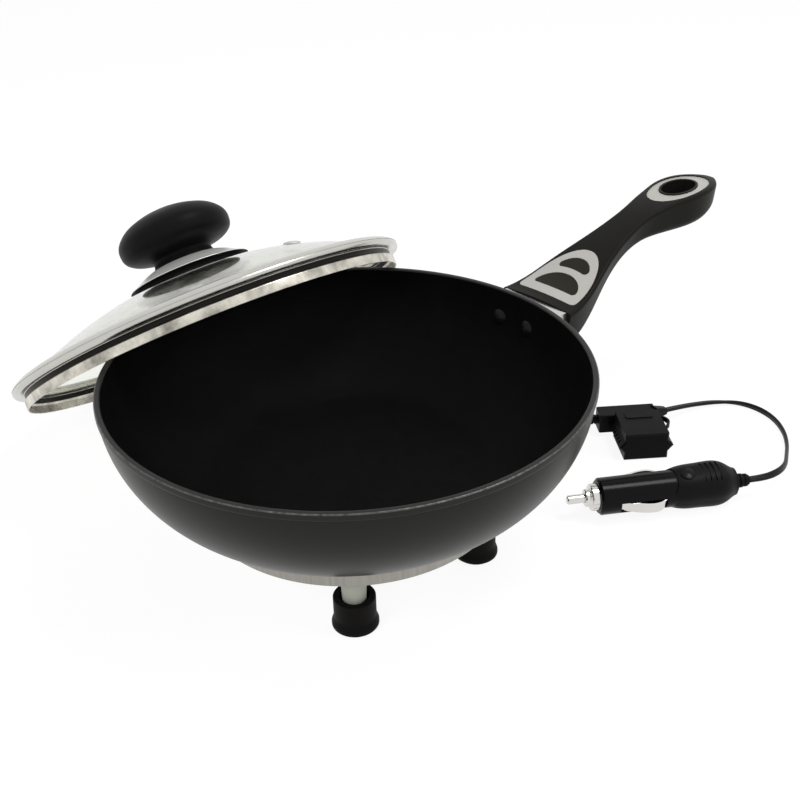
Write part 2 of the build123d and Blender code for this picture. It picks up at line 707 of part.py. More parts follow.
def make_cutout():
    """Round thermal cut-out with its two tabs, seated against the lower mica."""
    top = UNDERSIDE - 2 * MICA_SHEET - RIBBON_THICKNESS
    disc = rod(CUTOUT_RADIUS, top - CUTOUT_HEIGHT, top)
    step = rod(CUTOUT_RADIUS * 0.6, top - CUTOUT_HEIGHT - 0.5, top)
    return Pos(CUTOUT_PLACE, 0, 0) * (disc + step)


def make_gland():
    """Rubber gland: a flange outside the band, a neck through it and a tapered tail."""
    neck = GLAND_HOLE - SHEET_FIT
    tail = CORD_RADIUS + 0.7
    gland = turned_polygon([
        (0, -GLAND_DEPTH),
        (neck, -GLAND_DEPTH),
        (neck, 0.1),
        (GLAND_RADIUS, 0.1),
        (GLAND_RADIUS, 2.4),
        (neck, 3.0),
        (tail, GLAND_REACH),
        (0, GLAND_REACH),
    ])
    return gland_frame() * gland


def make_foot():
    """Rubber cup foot: flared skirt, thick rim, open top and a recess for the screw head."""
    flare = FOOT_RADIUS + FOOT_FLARE
    bore = SCREW_RADIUS + SCREW_CLEARANCE
    recess = SCREW_HEAD_RADIUS + 0.6
    corners = (
        (FOOT_RADIUS - 0.6, 0, 0),
        (flare, 1.6, 1.2),
        (flare, 3.4, 1.2),
        (FOOT_RADIUS, 7.0, 4.0),
        (FOOT_RADIUS, FOOT_HEIGHT, 0.9),
        (FOOT_BORE, FOOT_HEIGHT, 0.7),
        (FOOT_BORE - 0.5, FOOT_FLOOR_TOP, 0),
        (bore, FOOT_FLOOR_TOP, 0),
        (bore, FOOT_HEAD_RECESS, 0),
        (recess, FOOT_HEAD_RECESS, 0),
        (recess, 0, 0),
    )
    section = make_face(Polyline(*[(x, z) for x, z, _ in corners], close=True))
    for x, z, rounding in corners:
        if rounding:
            corner = section.vertices().sort_by_distance((x, z))[0]
            section = fillet(corner, rounding)
    return revolve(Plane.XZ * section, Axis.Z, 360)


def make_spacer():
    """Tapered sleeve between a rubber foot and the base plate."""
    bore = SCREW_RADIUS + SCREW_CLEARANCE
    return turned_polygon([
        (bore, FOOT_FLOOR_TOP),
        (SPACER_BOTTOM_RADIUS, FOOT_FLOOR_TOP),
        (SPACER_TOP_RADIUS, BASE_BOTTOM),
        (bore, BASE_BOTTOM),
    ])


def make_foot_screw():
    """Machine screw from the foot's recess up through the spacer and the plate into its nut."""
    head = rod(SCREW_HEAD_RADIUS, FOOT_HEAD_RECESS - SCREW_HEAD_HEIGHT, FOOT_HEAD_RECESS)
    head = fillet(head.faces().sort_by(Axis.Z)[0].edges(), 0.7)
    cross = block(5.0, 1.0, 0, FOOT_HEAD_RECESS - 1.2) + block(1.0, 5.0, 0, FOOT_HEAD_RECESS - 1.2)
    return head + rod(SCREW_RADIUS, FOOT_HEAD_RECESS, PLATE_TOP + NUT_HEIGHT) - cross


def make_nut():
    """Hexagon nut on the base plate's inner side."""
    outline = RegularPolygon(NUT_ACROSS / 2, 6, major_radius=False) - Circle(SCREW_RADIUS + SHEET_FIT)
    return straight_prism(outline, PLATE_TOP, PLATE_TOP + NUT_HEIGHT)


def at_feet(shape):
    """A copy of a shape at each foot."""
    return [Pos(x, y, 0) * shape for x, y in FOOT_PLACES]


# ---------------------------------------------------------------- lid

def lid_frame_at(distance):
    """The lid's frame with its centre at a distance from the pan's axis."""
    tilt = math.radians(LID_TILT)
    drop = LID_SKIRT_HEIGHT * math.cos(tilt) + LID_SKIRT_RADIUS * math.sin(tilt)
    x, y = polar(distance, LID_CENTRE_AZIMUTH)
    lean_x, lean_y = polar(math.sin(tilt), LID_LEAN_AZIMUTH)
    down_x, down_y = polar(math.cos(tilt), LID_LEAN_AZIMUTH)
    return Plane(
        origin=(x, y, LID_TABLE_GAP + drop),
        x_dir=(down_x, down_y, -math.sin(tilt)),
        z_dir=(lean_x, lean_y, math.cos(tilt)),
    )


def crossing_height(distance):
    """Lowest height at which the skirt's inner edge passes over the top of the pan's rim."""
    frame = lid_frame_at(distance)
    inner = LID_SKIRT_RADIUS - LID_SHEET
    reach = RIM_RADIUS - RIM_ROUND
    edge = [
        frame.from_local_coords((*polar(inner, angle), -LID_SKIRT_HEIGHT)) for angle in range(361)
    ]
    heights = []
    for before, after in zip(edge, edge[1:]):
        near = math.hypot(before.X, before.Y) - reach
        far = math.hypot(after.X, after.Y) - reach
        if near * far < 0:
            share = near / (near - far)
            heights.append(before.Z + share * (after.Z - before.Z))
    return min(heights)


def lid_frame():
    """The lid's frame: origin under the roll's plane centre, Z along the lid's axis."""
    low = RIM_RADIUS
    high = RIM_RADIUS + LID_SKIRT_RADIUS / 2
    for _ in range(18):
        middle = (low + high) / 2
        if crossing_height(middle) < RIM_HEIGHT + LID_RIM_GAP:
            low = middle
        else:
            high = middle
    print("lid centre distance", round(high, 3))
    return lid_frame_at(high)


def glass_height(radius, drop=0.0):
    """Height of the glass's upper face over the roll's underside, or of one parallel to it."""
    rise = GLASS_APEX - GLASS_EDGE_HEIGHT
    curve = (GLASS_EDGE_RADIUS ** 2 + rise ** 2) / (2 * rise)
    return GLASS_APEX - curve + math.sqrt((curve - drop) ** 2 - radius ** 2)


def glass_arc(start, end, drop=0.0):
    """The half-section arc of the glass's upper face, or of one parallel to it."""
    points = [(radius, glass_height(radius, drop)) for radius in (start, (start + end) / 2, end)]
    return ThreePointArc(*points)


def vent_place():
    """Location of the steam vent on the glass, Z along the glass's normal."""
    rise = GLASS_APEX - GLASS_EDGE_HEIGHT
    curve = (GLASS_EDGE_RADIUS ** 2 + rise ** 2) / (2 * rise)
    lean = math.degrees(math.asin(VENT_DISTANCE / curve))
    x, y = polar(VENT_DISTANCE, VENT_AZIMUTH)
    return Pos(x, y, glass_height(VENT_DISTANCE)) * Rot(0, 0, VENT_AZIMUTH) * Rot(0, lean, 0)


def make_glass():
    """Domed glass disc with holes for the knob screw and the vent."""
    upper = glass_arc(KNOB_SCREW_RADIUS + SCREW_CLEARANCE, GLASS_EDGE_RADIUS)
    lower = glass_arc(GLASS_EDGE_RADIUS, KNOB_SCREW_RADIUS + SCREW_CLEARANCE, GLASS_THICKNESS)
    glass = turned(upper + Line(upper @ 1, lower @ 0) + lower + Line(lower @ 1, upper @ 0))
    return glass - vent_place() * rod(VENT_RADIUS * 0.6, -2 * GLASS_THICKNESS, GLASS_THICKNESS)


def make_lid_band():
    """Steel band in one piece: a rolled edge that grips the glass, and a skirt below it."""
    grip = GLASS_EDGE_RADIUS - 4.5
    upper = glass_height(grip, -GLASS_SEAT)
    under = glass_height(GLASS_EDGE_RADIUS, GLASS_THICKNESS) - GLASS_SEAT
    edge = GLASS_EDGE_RADIUS + GLASS_SEAT
    skirt_in = LID_SKIRT_RADIUS - LID_SHEET
    neck_in = LID_NECK_RADIUS - LID_SHEET
    roll = Spline(
        (grip, upper + LID_SHEET),
        (LID_ROLL_RADIUS - 3.4, LID_ROLL_HEIGHT + 0.1),
        (LID_ROLL_RADIUS, 2.4),
        (LID_ROLL_RADIUS - 1.6, 0.2),
        tangents=((1, -0.05), (-1, -0.35)),
    )
    seating = glass_arc(edge, grip, -GLASS_SEAT)
    rest = Polyline(
        roll @ 1,
        (LID_NECK_RADIUS + 0.6, 0.0),
        (LID_NECK_RADIUS, -LID_SHEET),
        (LID_NECK_RADIUS, -LID_NECK_HEIGHT),
        (LID_SKIRT_RADIUS, -LID_NECK_HEIGHT - LID_SHEET),
        (LID_SKIRT_RADIUS, -LID_SKIRT_HEIGHT),
        (skirt_in, -LID_SKIRT_HEIGHT),
        (skirt_in, -LID_NECK_HEIGHT - 1.6 * LID_SHEET),
        (neck_in, -LID_NECK_HEIGHT - 0.4 * LID_SHEET),
        (neck_in, under - LID_SHEET),
        (grip, under - LID_SHEET + 0.5),
        (grip, under + 0.5),
        (edge, under),
        seating @ 0,
    )
    return turned(roll + rest + seating + Line(seating @ 1, roll @ 0))


def make_knob_plate():
    """Dished steel plate between the glass and the knob, open all round below its edge."""
    seat = glass_height(0)
    top = seat + KNOB_PLATE_HEIGHT
    edge = seat + KNOB_PLATE_EDGE
    outline = [
        (KNOB_SCREW_RADIUS + SCREW_CLEARANCE, top),
        (KNOB_STEM_RADIUS + 3, top),
        (KNOB_PLATE_RADIUS - 3.5, edge + 1.2),
        (KNOB_PLATE_RADIUS, edge),
        (KNOB_PLATE_RADIUS, edge - KNOB_PLATE_SHEET),
        (KNOB_PLATE_RADIUS - 4.0, edge + 1.2 - KNOB_PLATE_SHEET),
        (KNOB_PLATE_SEAT + 1, top - 2.4),
    ]
    seating = glass_arc(KNOB_PLATE_SEAT, KNOB_SCREW_RADIUS + SCREW_CLEARANCE, -GLASS_SEAT)
    return turned(
        Polyline(*outline, seating @ 0) + seating + Line(seating @ 1, outline[0])
    )


def make_gasket():
    """Black rubber ring between the glass and the knob's plate."""
    inner = KNOB_PLATE_SEAT + 0.6
    seating = glass_arc(inner, GASKET_RADIUS, -GLASS_SEAT)
    top = glass_height(GASKET_RADIUS) + GASKET_HEIGHT
    lines = Polyline(seating @ 1, (GASKET_RADIUS, top), (inner, top + 0.6), seating @ 0)
    return turned(seating + lines)


def make_knob():
    """Moulded mushroom knob: a waisted stem under a broad, gently domed cap."""
    foot = glass_height(0) + KNOB_PLATE_HEIGHT
    under = Spline(*KNOB_UNDER, tangents=((-0.35, 1), (1, 0.2)))
    edge = ThreePointArc(KNOB_UNDER[-1], KNOB_EDGE, KNOB_OVER[0])
    over = Spline(*KNOB_OVER, tangents=((0, 1), (-1, 0)))
    bore = KNOB_SCREW_RADIUS + SHEET_FIT
    hollow = Polyline(
        over @ 1,
        (0, KNOB_BORE_DEPTH),
        (bore, KNOB_BORE_DEPTH),
        (bore, 0),
        under @ 0,
    )
    return Pos(0, 0, foot) * turned(under + edge + over + hollow)


def make_knob_screw():
    """Screw from inside the lid up into the knob."""
    head_top = glass_height(0, GLASS_THICKNESS) - WASHER_THICKNESS
    tip = glass_height(0) + KNOB_PLATE_HEIGHT + KNOB_BORE_DEPTH - 1.5
    head = rod(SCREW_HEAD_RADIUS, head_top - SCREW_HEAD_HEIGHT, head_top)
    head = fillet(head.faces().sort_by(Axis.Z)[0].edges(), 0.7)
    low = head_top - SCREW_HEAD_HEIGHT
    cross = block(5.0, 1.0, low, low + 1.2) + block(1.0, 5.0, low, low + 1.2)
    return head + rod(KNOB_SCREW_RADIUS, head_top, tip) - cross


def make_washer():
    """Soft washer between the screw's head and the glass."""
    top = glass_height(0, GLASS_THICKNESS)
    washer = rod(WASHER_RADIUS, top - WASHER_THICKNESS, top)
    bore = rod(KNOB_SCREW_RADIUS + SHEET_FIT, top - 2 * WASHER_THICKNESS, top + 1)
    ball = turned(
        glass_arc(0, 2 * WASHER_RADIUS, GLASS_THICKNESS + SHEET_FIT)
        + Polyline(
            (2 * WASHER_RADIUS, glass_height(2 * WASHER_RADIUS, GLASS_THICKNESS + SHEET_FIT)),
            (2 * WASHER_RADIUS, top + 1),
            (0, top + 1),
            (0, glass_height(0, GLASS_THICKNESS + SHEET_FIT)),
        )
    )
    return washer - bore - ball


def make_vent():
    """Steel eyelet with a steam hole, its two flanges gripping the glass."""
    neck = VENT_RADIUS * 0.6 - SHEET_FIT
    low = -GLASS_THICKNESS
    eyelet = turned_polygon([
        (VENT_HOLE, low - 0.9),
        (VENT_RADIUS - 0.6, low - 0.9),
        (VENT_RADIUS - 0.6, low - 0.25),
        (neck, low - 0.1),
        (neck, 0.1),
        (VENT_RADIUS, 0.12),
        (VENT_RADIUS - 0.5, 0.9),
        (VENT_HOLE + 0.8, 1.5),
        (VENT_HOLE, 0.9),
    ])
    return vent_place() * eyelet


# ---------------------------------------------------------------- fuse holder

def holder_frame():
    """Frame of the fuse holder: X along its bar, -Y the way the cap pulls off."""
    return lying_frame(HOLDER_X, HOLDER_Y, 0, HOLDER_AZIMUTH)


HOLDER_MIDDLE = CAP_HEIGHT / 2


def cap_section(shrink):
    """Cross section of the cap in X and Z: flat top and bottom, a ridge along each side."""
    half = CAP_HALF_WIDTH - shrink
    high = HOLDER_MIDDLE - shrink
    ridge = half + CAP_RIDGE
    return make_face(Polyline(
        (-half, -high), (half, -high), (half, -high * 0.45), (ridge, 0), (half, high * 0.45),
        (half, high), (-half, high), (-half, high * 0.45), (-ridge, 0), (-half, -high * 0.45),
        close=True,
    ))


def along_cap(outline, start, length):
    """An outline in X and Z carried towards the open air along -Y from a start."""
    frame = Plane(
        origin=(CAP_CENTRE, start, HOLDER_MIDDLE), x_dir=(1, 0, 0), z_dir=(0, -1, 0)
    )
    return frame * extrude(outline, length)


def boot(tip, ahead):
    """Ribbed boot from a cord's end back into the holder's bar, square to the cord."""
    direction = Vector(*tip) - Vector(*ahead)
    shape = rod(BOOT_RADIUS, 0, BOOT_LENGTH)
    for low in (1.6, 3.8, 6.0):
        shape -= tube(BOOT_RADIUS + 1, BOOT_RADIUS - 0.5, low, low + 1.0)
    return Plane(origin=tip, z_dir=direction) * shape


def taper(tip, ahead):
    """Smooth flat exit that widens from a cord's end back into the holder's bar."""
    direction = Vector(*tip) - Vector(*ahead)
    frame = Plane(origin=tip, x_dir=direction.cross(Vector(0, 0, 1)), z_dir=direction)
    sections = [
        frame * (Pos(0, 0, place) * RectangleRounded(wide, high, TAPER_ROUND))
        for place, wide, high in TAPER_SECTIONS
    ]
    return loft(sections)


def make_holder_body():
    """Fuse holder: a bar with a cord exit at each end and a nose that takes the fuse's blades."""
    low = HOLDER_MIDDLE - BAR_HEIGHT / 2
    high = HOLDER_MIDDLE + BAR_HEIGHT / 2
    bar = block(2 * BAR_HALF_LENGTH, 2 * BAR_HALF_DEPTH, low, high)
    bar = fillet(bar.edges().filter_by(Axis.Z), BAR_ROUND)
    bar = fillet(bar.faces().sort_by(Axis.Z)[-1].edges(), BAR_ROUND * 0.8)
    nose = Pos(CAP_CENTRE, -BAR_HALF_DEPTH - NOSE_LENGTH / 2 + 1, 0) * block(
        2 * NOSE_HALF_WIDTH, NOSE_LENGTH + 2,
        HOLDER_MIDDLE - NOSE_HALF_HEIGHT, HOLDER_MIDDLE + NOSE_HALF_HEIGHT,
    )
    body = bar + nose
    for side in (-1, 1):
        pocket = Pos(CAP_CENTRE + side * BLADE_PLACE, -BAR_HALF_DEPTH - NOSE_LENGTH / 2, 0)
        body -= pocket * block(
            BLADE_WIDTH + 1.2, NOSE_LENGTH + 0.02,
            HOLDER_MIDDLE - TERMINAL_HALF_HEIGHT - 0.1, HOLDER_MIDDLE + TERMINAL_HALF_HEIGHT + 0.1,
        )
    body = holder_frame() * body
    body += taper(POWER_ROUTE[0], POWER_ROUTE[1])
    return body + boot(LEAD_ROUTE[-1], LEAD_ROUTE[-2])


def make_terminals():
    """Two folded blade sockets in the nose, each a channel round its blade's slot."""
    length = NOSE_LENGTH - 1.0
    terminals = []
    for side in (-1, 1):
        outer = block(
            BLADE_WIDTH + 1.0, length,
            HOLDER_MIDDLE - TERMINAL_HALF_HEIGHT, HOLDER_MIDDLE + TERMINAL_HALF_HEIGHT,
        )
        slot = Pos(0, -1.2, 0) * block(
            BLADE_WIDTH + 0.2, length,
            HOLDER_MIDDLE - BLADE_THICKNESS / 2 - SHEET_FIT,
            HOLDER_MIDDLE + BLADE_THICKNESS / 2 + SHEET_FIT,
        )
        place = Pos(CAP_CENTRE + side * BLADE_PLACE, -BAR_HALF_DEPTH - length / 2 - 0.5, 0)
        terminals.append(holder_frame() * (place * (outer - slot)))
    return Compound(children=terminals)


def make_fuse():
    """Blade fuse: a moulded body with a waist, and two flat blades."""
    front = -BAR_HALF_DEPTH - NOSE_LENGTH - 0.1
    body = Pos(CAP_CENTRE, front - FUSE_BODY_LENGTH / 2, 0) * block(
        2 * FUSE_HALF_WIDTH, FUSE_BODY_LENGTH,
        HOLDER_MIDDLE - FUSE_THICKNESS / 2, HOLDER_MIDDLE + FUSE_THICKNESS / 2,
    )
    body = fillet(body.edges().filter_by(Axis.Z), 1.0)
    for side in (-1, 1):
        body -= Pos(
            CAP_CENTRE + side * FUSE_HALF_WIDTH * 0.5, front - FUSE_BODY_LENGTH * 0.55, 0
        ) * block(5.0, 5.5, HOLDER_MIDDLE + FUSE_THICKNESS / 2 - 0.8, CAP_HEIGHT)
    for side in (-1, 1):
        body += Pos(CAP_CENTRE + side * BLADE_PLACE, front + BLADE_LENGTH / 2 - 1.0, 0) * block(
            BLADE_WIDTH, BLADE_LENGTH + 2.0,
            HOLDER_MIDDLE - BLADE_THICKNESS / 2, HOLDER_MIDDLE + BLADE_THICKNESS / 2,
        )
    return holder_frame() * body


def make_holder_cap():
    """Hexagon-sided cap over the fuse, with grip ribs down its sides and a raised thumb panel."""
    start = -BAR_HALF_DEPTH - BODY_GAP
    outer = along_cap(cap_section(0), start, CAP_LENGTH)
    outer = chamfer(outer.faces().sort_by(Axis.Y)[0].edges(), 0.9)
    cavity = Pos(CAP_CENTRE, start - (CAP_LENGTH - CAP_WALL) / 2, 0) * block(
        2 * (NOSE_HALF_WIDTH + CAP_FIT), CAP_LENGTH - CAP_WALL + 0.01,
        HOLDER_MIDDLE - NOSE_HALF_HEIGHT - CAP_FIT, HOLDER_MIDDLE + NOSE_HALF_HEIGHT + CAP_FIT,
    )
    cap = outer - cavity
    panel = Pos(CAP_CENTRE, start - 5.5, 0) * block(
        PANEL_LENGTH, PANEL_WIDTH, CAP_HEIGHT - 0.2, CAP_HEIGHT + 0.5
    )
    cap += fillet(panel.edges().filter_by(Axis.Z), 2.0)
    for side in (-1, 1):
        for index in range(5):
            notch = Pos(
                CAP_CENTRE + side * (CAP_HALF_WIDTH + CAP_RIDGE), start - 8.0 - 3.6 * index, 0
            )
            cap -= notch * block(4.2, 1.3, -1, CAP_HEIGHT + 1)
    return holder_frame() * cap


def make_tether():
    """Strap that keeps the cap: a small flat loop from the bar's end to the cap's side."""
    edge = BAR_HALF_LENGTH + 0.2
    bar_end = TETHER_START
    cap_end = -BAR_HALF_DEPTH - 11.0
    middle = (bar_end + cap_end) / 2
    side = CAP_CENTRE + CAP_HALF_WIDTH + CAP_RIDGE + TRIM_FIT
    outer = ThreePointArc(
        (edge, bar_end), (edge + TETHER_REACH, middle), (side, cap_end)
    )
    inner = ThreePointArc(
        (side, cap_end + TETHER_THICKNESS),
        (edge + TETHER_REACH - TETHER_THICKNESS, middle),
        (edge, bar_end - TETHER_THICKNESS),
    )
    outline = make_face(
        outer + Line(outer @ 1, inner @ 0) + inner + Line(inner @ 1, outer @ 0)
    )
    return holder_frame() * straight_prism(outline, TETHER_LOW, TETHER_LOW + TETHER_WIDTH)


# ---------------------------------------------------------------- plug

def plug_frame():
    """Frame of the plug: X from its tip back to the cord, Z out through its top."""
    roll = math.radians(PLUG_ROLL)
    lean_x, lean_y = polar(-math.sin(roll), PLUG_AZIMUTH + 90)
    return Plane(
        origin=(PLUG_TIP_X, PLUG_TIP_Y, PLUG_AXIS_HEIGHT),
        x_dir=(*polar(1, PLUG_AZIMUTH), 0),
        z_dir=(lean_x, lean_y, math.cos(roll)),
    )


def on_plug_axis(shape):
    """A shape turned from its own Z to the plug's axis, and placed there."""
    axis = Plane(origin=(0, 0, 0), x_dir=(0, 1, 0), z_dir=(1, 0, 0))
    return plug_frame() * (axis * shape)


TIP_FLANGE_START = TIP_REACH + NUT_COLLAR_LENGTH
TIP_END = TIP_FLANGE_START + 8.0
FUSE_END = TIP_END + PLUG_FUSE_LENGTH
BORE_END = FUSE_END + SPRING_LENGTH


def make_tip():
    """Sprung centre contact: a flat-ended pin with a flange behind the nut's collar."""
    flange = TIP_FLANGE_START + 0.3
    return on_plug_axis(turned_polygon([
        (0, 0),
        (TIP_RADIUS - 0.7, 0),
        (TIP_RADIUS, 0.7),
        (TIP_RADIUS, flange),
        (TIP_FLANGE_RADIUS, flange),
        (TIP_FLANGE_RADIUS, TIP_END),
        (0, TIP_END),
    ]))


def make_ring_nut():
    """Screwed cap with a stepped collar and a knurl of flats, that keeps the tip in."""
    low = TIP_REACH
    step = TIP_REACH + NUT_COLLAR_LENGTH
    end = step + NUT_LENGTH
    bore = TIP_RADIUS + RUN_FIT
    wide_bore = SPIGOT_RADIUS + RUN_FIT
    nut = turned_polygon([
        (bore, low),
        (NUT_COLLAR_RADIUS - 0.6, low),
        (NUT_COLLAR_RADIUS, low + 0.6),
        (NUT_COLLAR_RADIUS, step - 0.9),
        (NUT_COLLAR_RADIUS + 1.3, step),
        (NUT_RADIUS - 0.5, step),
        (NUT_RADIUS, step + 0.5),
        (NUT_RADIUS, end),
        (wide_bore, end),
        (wide_bore, step),
        (bore, step),
    ])
    notch = Pos(NUT_RADIUS + 0.25, 0, 0) * block(1.0, 1.0, step + 0.6, end - 0.6)
    for index in range(16):
        nut -= Rot(0, 0, index * 22.5) * notch
    return on_plug_axis(nut)


def plug_form():
    """Whole outside of the plug's two shells: a nose, and a sleeve with a swept front edge."""
    nose = rod(NOSE_RADIUS, SHELL_START, NOSE_END + 8)
    nose = chamfer(nose.faces().sort_by(Axis.Z)[0].edges(), NOSE_CHAMFER)
    spigot = rod(SPIGOT_RADIUS, SHELL_START - NUT_LENGTH, SHELL_START + 1)
    body = on_plug_axis(nose + spigot)
    sections = []
    for place, half_width, half_height, rise in GRIP_SLEEVE:
        frame = Plane(origin=(place, 0, rise * 0.5), x_dir=(0, 1, 0), z_dir=(1, 0, 0))
        outline = RectangleRounded(
            2 * half_width, 2 * half_height + rise, SLEEVE_ROUND * min(half_width, half_height)
        )
        sections.append(frame * outline)
    sleeve = loft(sections)
    front = SLEEVE_EDGE[-1][0] - 10
    ahead = make_face(Polyline(
        *SLEEVE_EDGE, (front, SLEEVE_EDGE[-1][1]), (front, SLEEVE_EDGE[0][1]), close=True
    ))
    cut = Pos(0, 2 * NOSE_RADIUS, 0) * (Plane.XZ * extrude(ahead, 4 * NOSE_RADIUS))
    return body + plug_frame() * (sleeve - cut)


def plug_ribs():
    """Short curved grip grooves over the top of the plug, behind the lens."""
    ribs = []
    for index in range(RIB_COUNT):
        place = RIB_START + RIB_PITCH * index
        ring = Plane(origin=(0, 0, 0), x_dir=(0, 1, 0), z_dir=(1, 0, 0)) * tube(
            30, RIB_FLOOR, place, place + RIB_WIDTH
        )
        ribs.append(ring & Pos(place, 0, 0) * block(4 * RIB_WIDTH, 2 * RIB_HALF_REACH, 0, 30))
    return plug_frame() * Compound(children=ribs)


def contact_slot(side, grow):
    """Room for one side contact, as a block from inside the plug out through its side."""
    length = CONTACT_END - CONTACT_START + 2 * grow
    depth = NOSE_RADIUS
    return Pos((CONTACT_START + CONTACT_END) / 2, side * (CONTACT_DEPTH + depth / 2), 0) * block(
        length, depth, -CONTACT_HALF_HEIGHT - grow, CONTACT_HALF_HEIGHT + grow
    )


def make_contact(side):
    """Sprung side contact: a bowed strip with a raised cheek, in its slot in the nose."""
    base = CONTACT_DEPTH + CONTACT_TRAVEL + 0.3
    crest = NOSE_RADIUS + CONTACT_PROUD
    start = CONTACT_START
    end = CONTACT_END
    outer = Spline(
        (start, base + CONTACT_SHEET),
        (start + 5.0, NOSE_RADIUS - 0.6),
        (start + 15.0, crest),
        (end - 3.0, crest - 0.6),
        (end, NOSE_RADIUS - 1.2),
    )
    inner = Spline(
        (end, NOSE_RADIUS - 1.2 - CONTACT_SHEET),
        (end - 3.4, crest - 0.6 - CONTACT_SHEET),
        (start + 15.0, crest - CONTACT_SHEET),
        (start + 5.6, NOSE_RADIUS - 0.6 - CONTACT_SHEET),
        (start, base),
    )
    outline = make_face(
        outer + Line(outer @ 1, inner @ 0) + inner + Line(inner @ 1, outer @ 0)
    )
    strip = straight_prism(outline, -CONTACT_HALF_HEIGHT, CONTACT_HALF_HEIGHT)
    if side < 0:
        strip = mirror(strip, Plane.XZ)
    return plug_frame() * strip


def make_plug_shells():
    """Upper and lower shells, parted level with the axis, bored for tip, fuse and spring."""
    form = plug_form() - plug_ribs()
    form -= on_plug_axis(rod(PLUG_BORE, TIP_REACH, BORE_END))
    form -= on_plug_axis(rod(RELIEF_NECK + SHEET_FIT, RELIEF_START - SHEET_FIT, SHELL_END + 1))
    form -= on_plug_axis(rod(RELIEF_FLANGE + SHEET_FIT, RELIEF_START, RELIEF_START + 2.5))
    for side in (-1, 1):
        form -= plug_frame() * contact_slot(side, BODY_GAP)
    lens_seat = rod(LENS_RADIUS + SHEET_FIT, LENS_TOP - LENS_DEPTH - SHEET_FIT, 30)
    form -= plug_frame() * Pos(LENS_PLACE, 0, 0) * lens_seat
    screw = plug_screw_place()
    form -= screw * rod(SCREW_HEAD_RADIUS - 1.6, -30, -8.4)
    form -= screw * rod(1.3, -9, -2)
    upper_half = plug_frame() * block(400, 80, 0, 40)
    lower_half = plug_frame() * block(400, 80, -40, 0)
    upper = form & upper_half
    lower = form & lower_half
    return upper, lower


def plug_screw_place():
    """Location of the screw that joins the shells, behind the spring."""
    return plug_frame() * Pos(RELIEF_START - 6.0, 0, 0)


def make_plug_screw():
    """Small screw up through the lower shell into the upper one."""
    shank = rod(1.25, -8.4, -2.2)
    head = rod(SCREW_HEAD_RADIUS - 1.8, -10.2, -8.4)
    cross = block(3.4, 0.8, -10.3, -9.4) + block(0.8, 3.4, -10.3, -9.4)
    return plug_screw_place() * (shank + head - cross)


def make_relief():
    """Ribbed rubber strain relief, held in the shells by its flange."""
    root = RELIEF_NECK
    end_radius = CORD_RADIUS + 0.9
    lines = [(0, RELIEF_START), (RELIEF_FLANGE, RELIEF_START), (RELIEF_FLANGE, RELIEF_START + 2.4)]
    lines.append((root, RELIEF_START + 2.4))
    lines.append((root, SHELL_END + 0.2))
    count = 3
    pitch = (RELIEF_END - SHELL_END) / count
    for index in range(count):
        low = SHELL_END + 0.2 + pitch * index
        radius = root + 0.5 - (root - end_radius) * index / count
        lines += [
            (radius, low), (radius - 0.1, low + pitch * 0.55),
            (radius - 0.8, low + pitch * 0.6), (radius - 0.9, low + pitch * 0.96),
        ]
    lines.append((end_radius - 0.2, RELIEF_END))
    lines.append((0, RELIEF_END))
    return on_plug_axis(turned_polygon(lines))


def make_plug_fuse():
    """Glass tube fuse with metal end caps, behind the tip."""
    return on_plug_axis(rod(PLUG_FUSE_RADIUS, TIP_END, FUSE_END))


def make_plug_spring():
    """Coil spring that pushes the fuse and the tip forward, at its pressed length."""
    radius = PLUG_FUSE_RADIUS - SPRING_WIRE - 0.2
    height = SPRING_LENGTH - TIP_TRAVEL - 2 * SPRING_WIRE - 0.1
    path = Helix(pitch=height / SPRING_TURNS, height=height, radius=radius)
    section = Plane(origin=path @ 0, z_dir=path % 0) * Circle(SPRING_WIRE)
    coil = sweep(section, path=path)
    return on_plug_axis(Pos(0, 0, FUSE_END + TIP_TRAVEL + SPRING_WIRE + 0.05) * coil)


def make_lens():
    """Indicator lens, a shallow dome in the top of the plug."""
    dome = cap_arc(LENS_RADIUS, LENS_TOP, LENS_RISE)
    low = LENS_TOP - LENS_DEPTH
    lens = turned(dome + Polyline(dome @ 1, (0, low), (LENS_RADIUS, low), dome @ 0))
    return plug_frame() * Pos(LENS_PLACE, 0, 0) * lens


# ---------------------------------------------------------------- cords

def cord_tube(name, route):
    """A round cord along straight runs joined by tangent arcs, each as large as its runs allow."""
    points = [Vector(*point) for point in route]
    radii = []
    for before, corner, after in zip(points, points[1:], points[2:]):
        incoming = corner - before
        outgoing = after - corner
        half_turn = math.radians(incoming.get_angle(outgoing)) / 2
        shorter = min(incoming.length, outgoing.length)
        radii.append(0.45 * shorter / math.tan(half_turn))
    path = FilletPolyline(*points, radius=radii)
    start = Plane(origin=points[0], z_dir=points[1] - points[0])
    solid = sweep(start * Circle(CORD_RADIUS), path=path)
    section = math.pi * CORD_RADIUS ** 2
    print(name, "length", round(path.length, 1), "volume ratio",
          round(solid.volume / (section * path.length), 4))
    print(name, "radii", [round(radius, 1) for radius in radii])
    return solid


def power_points():
    """The power cord's route, ending square on the plug's strain relief."""
    frame = plug_frame()
    ends = [(RELIEF_END + CORD_LEAD_IN, 0, 0), (RELIEF_END, 0, 0)]
    return (*POWER_ROUTE, *(tuple(frame.from_local_coords(end)) for end in ends))


# ---------------------------------------------------------------- all nodes

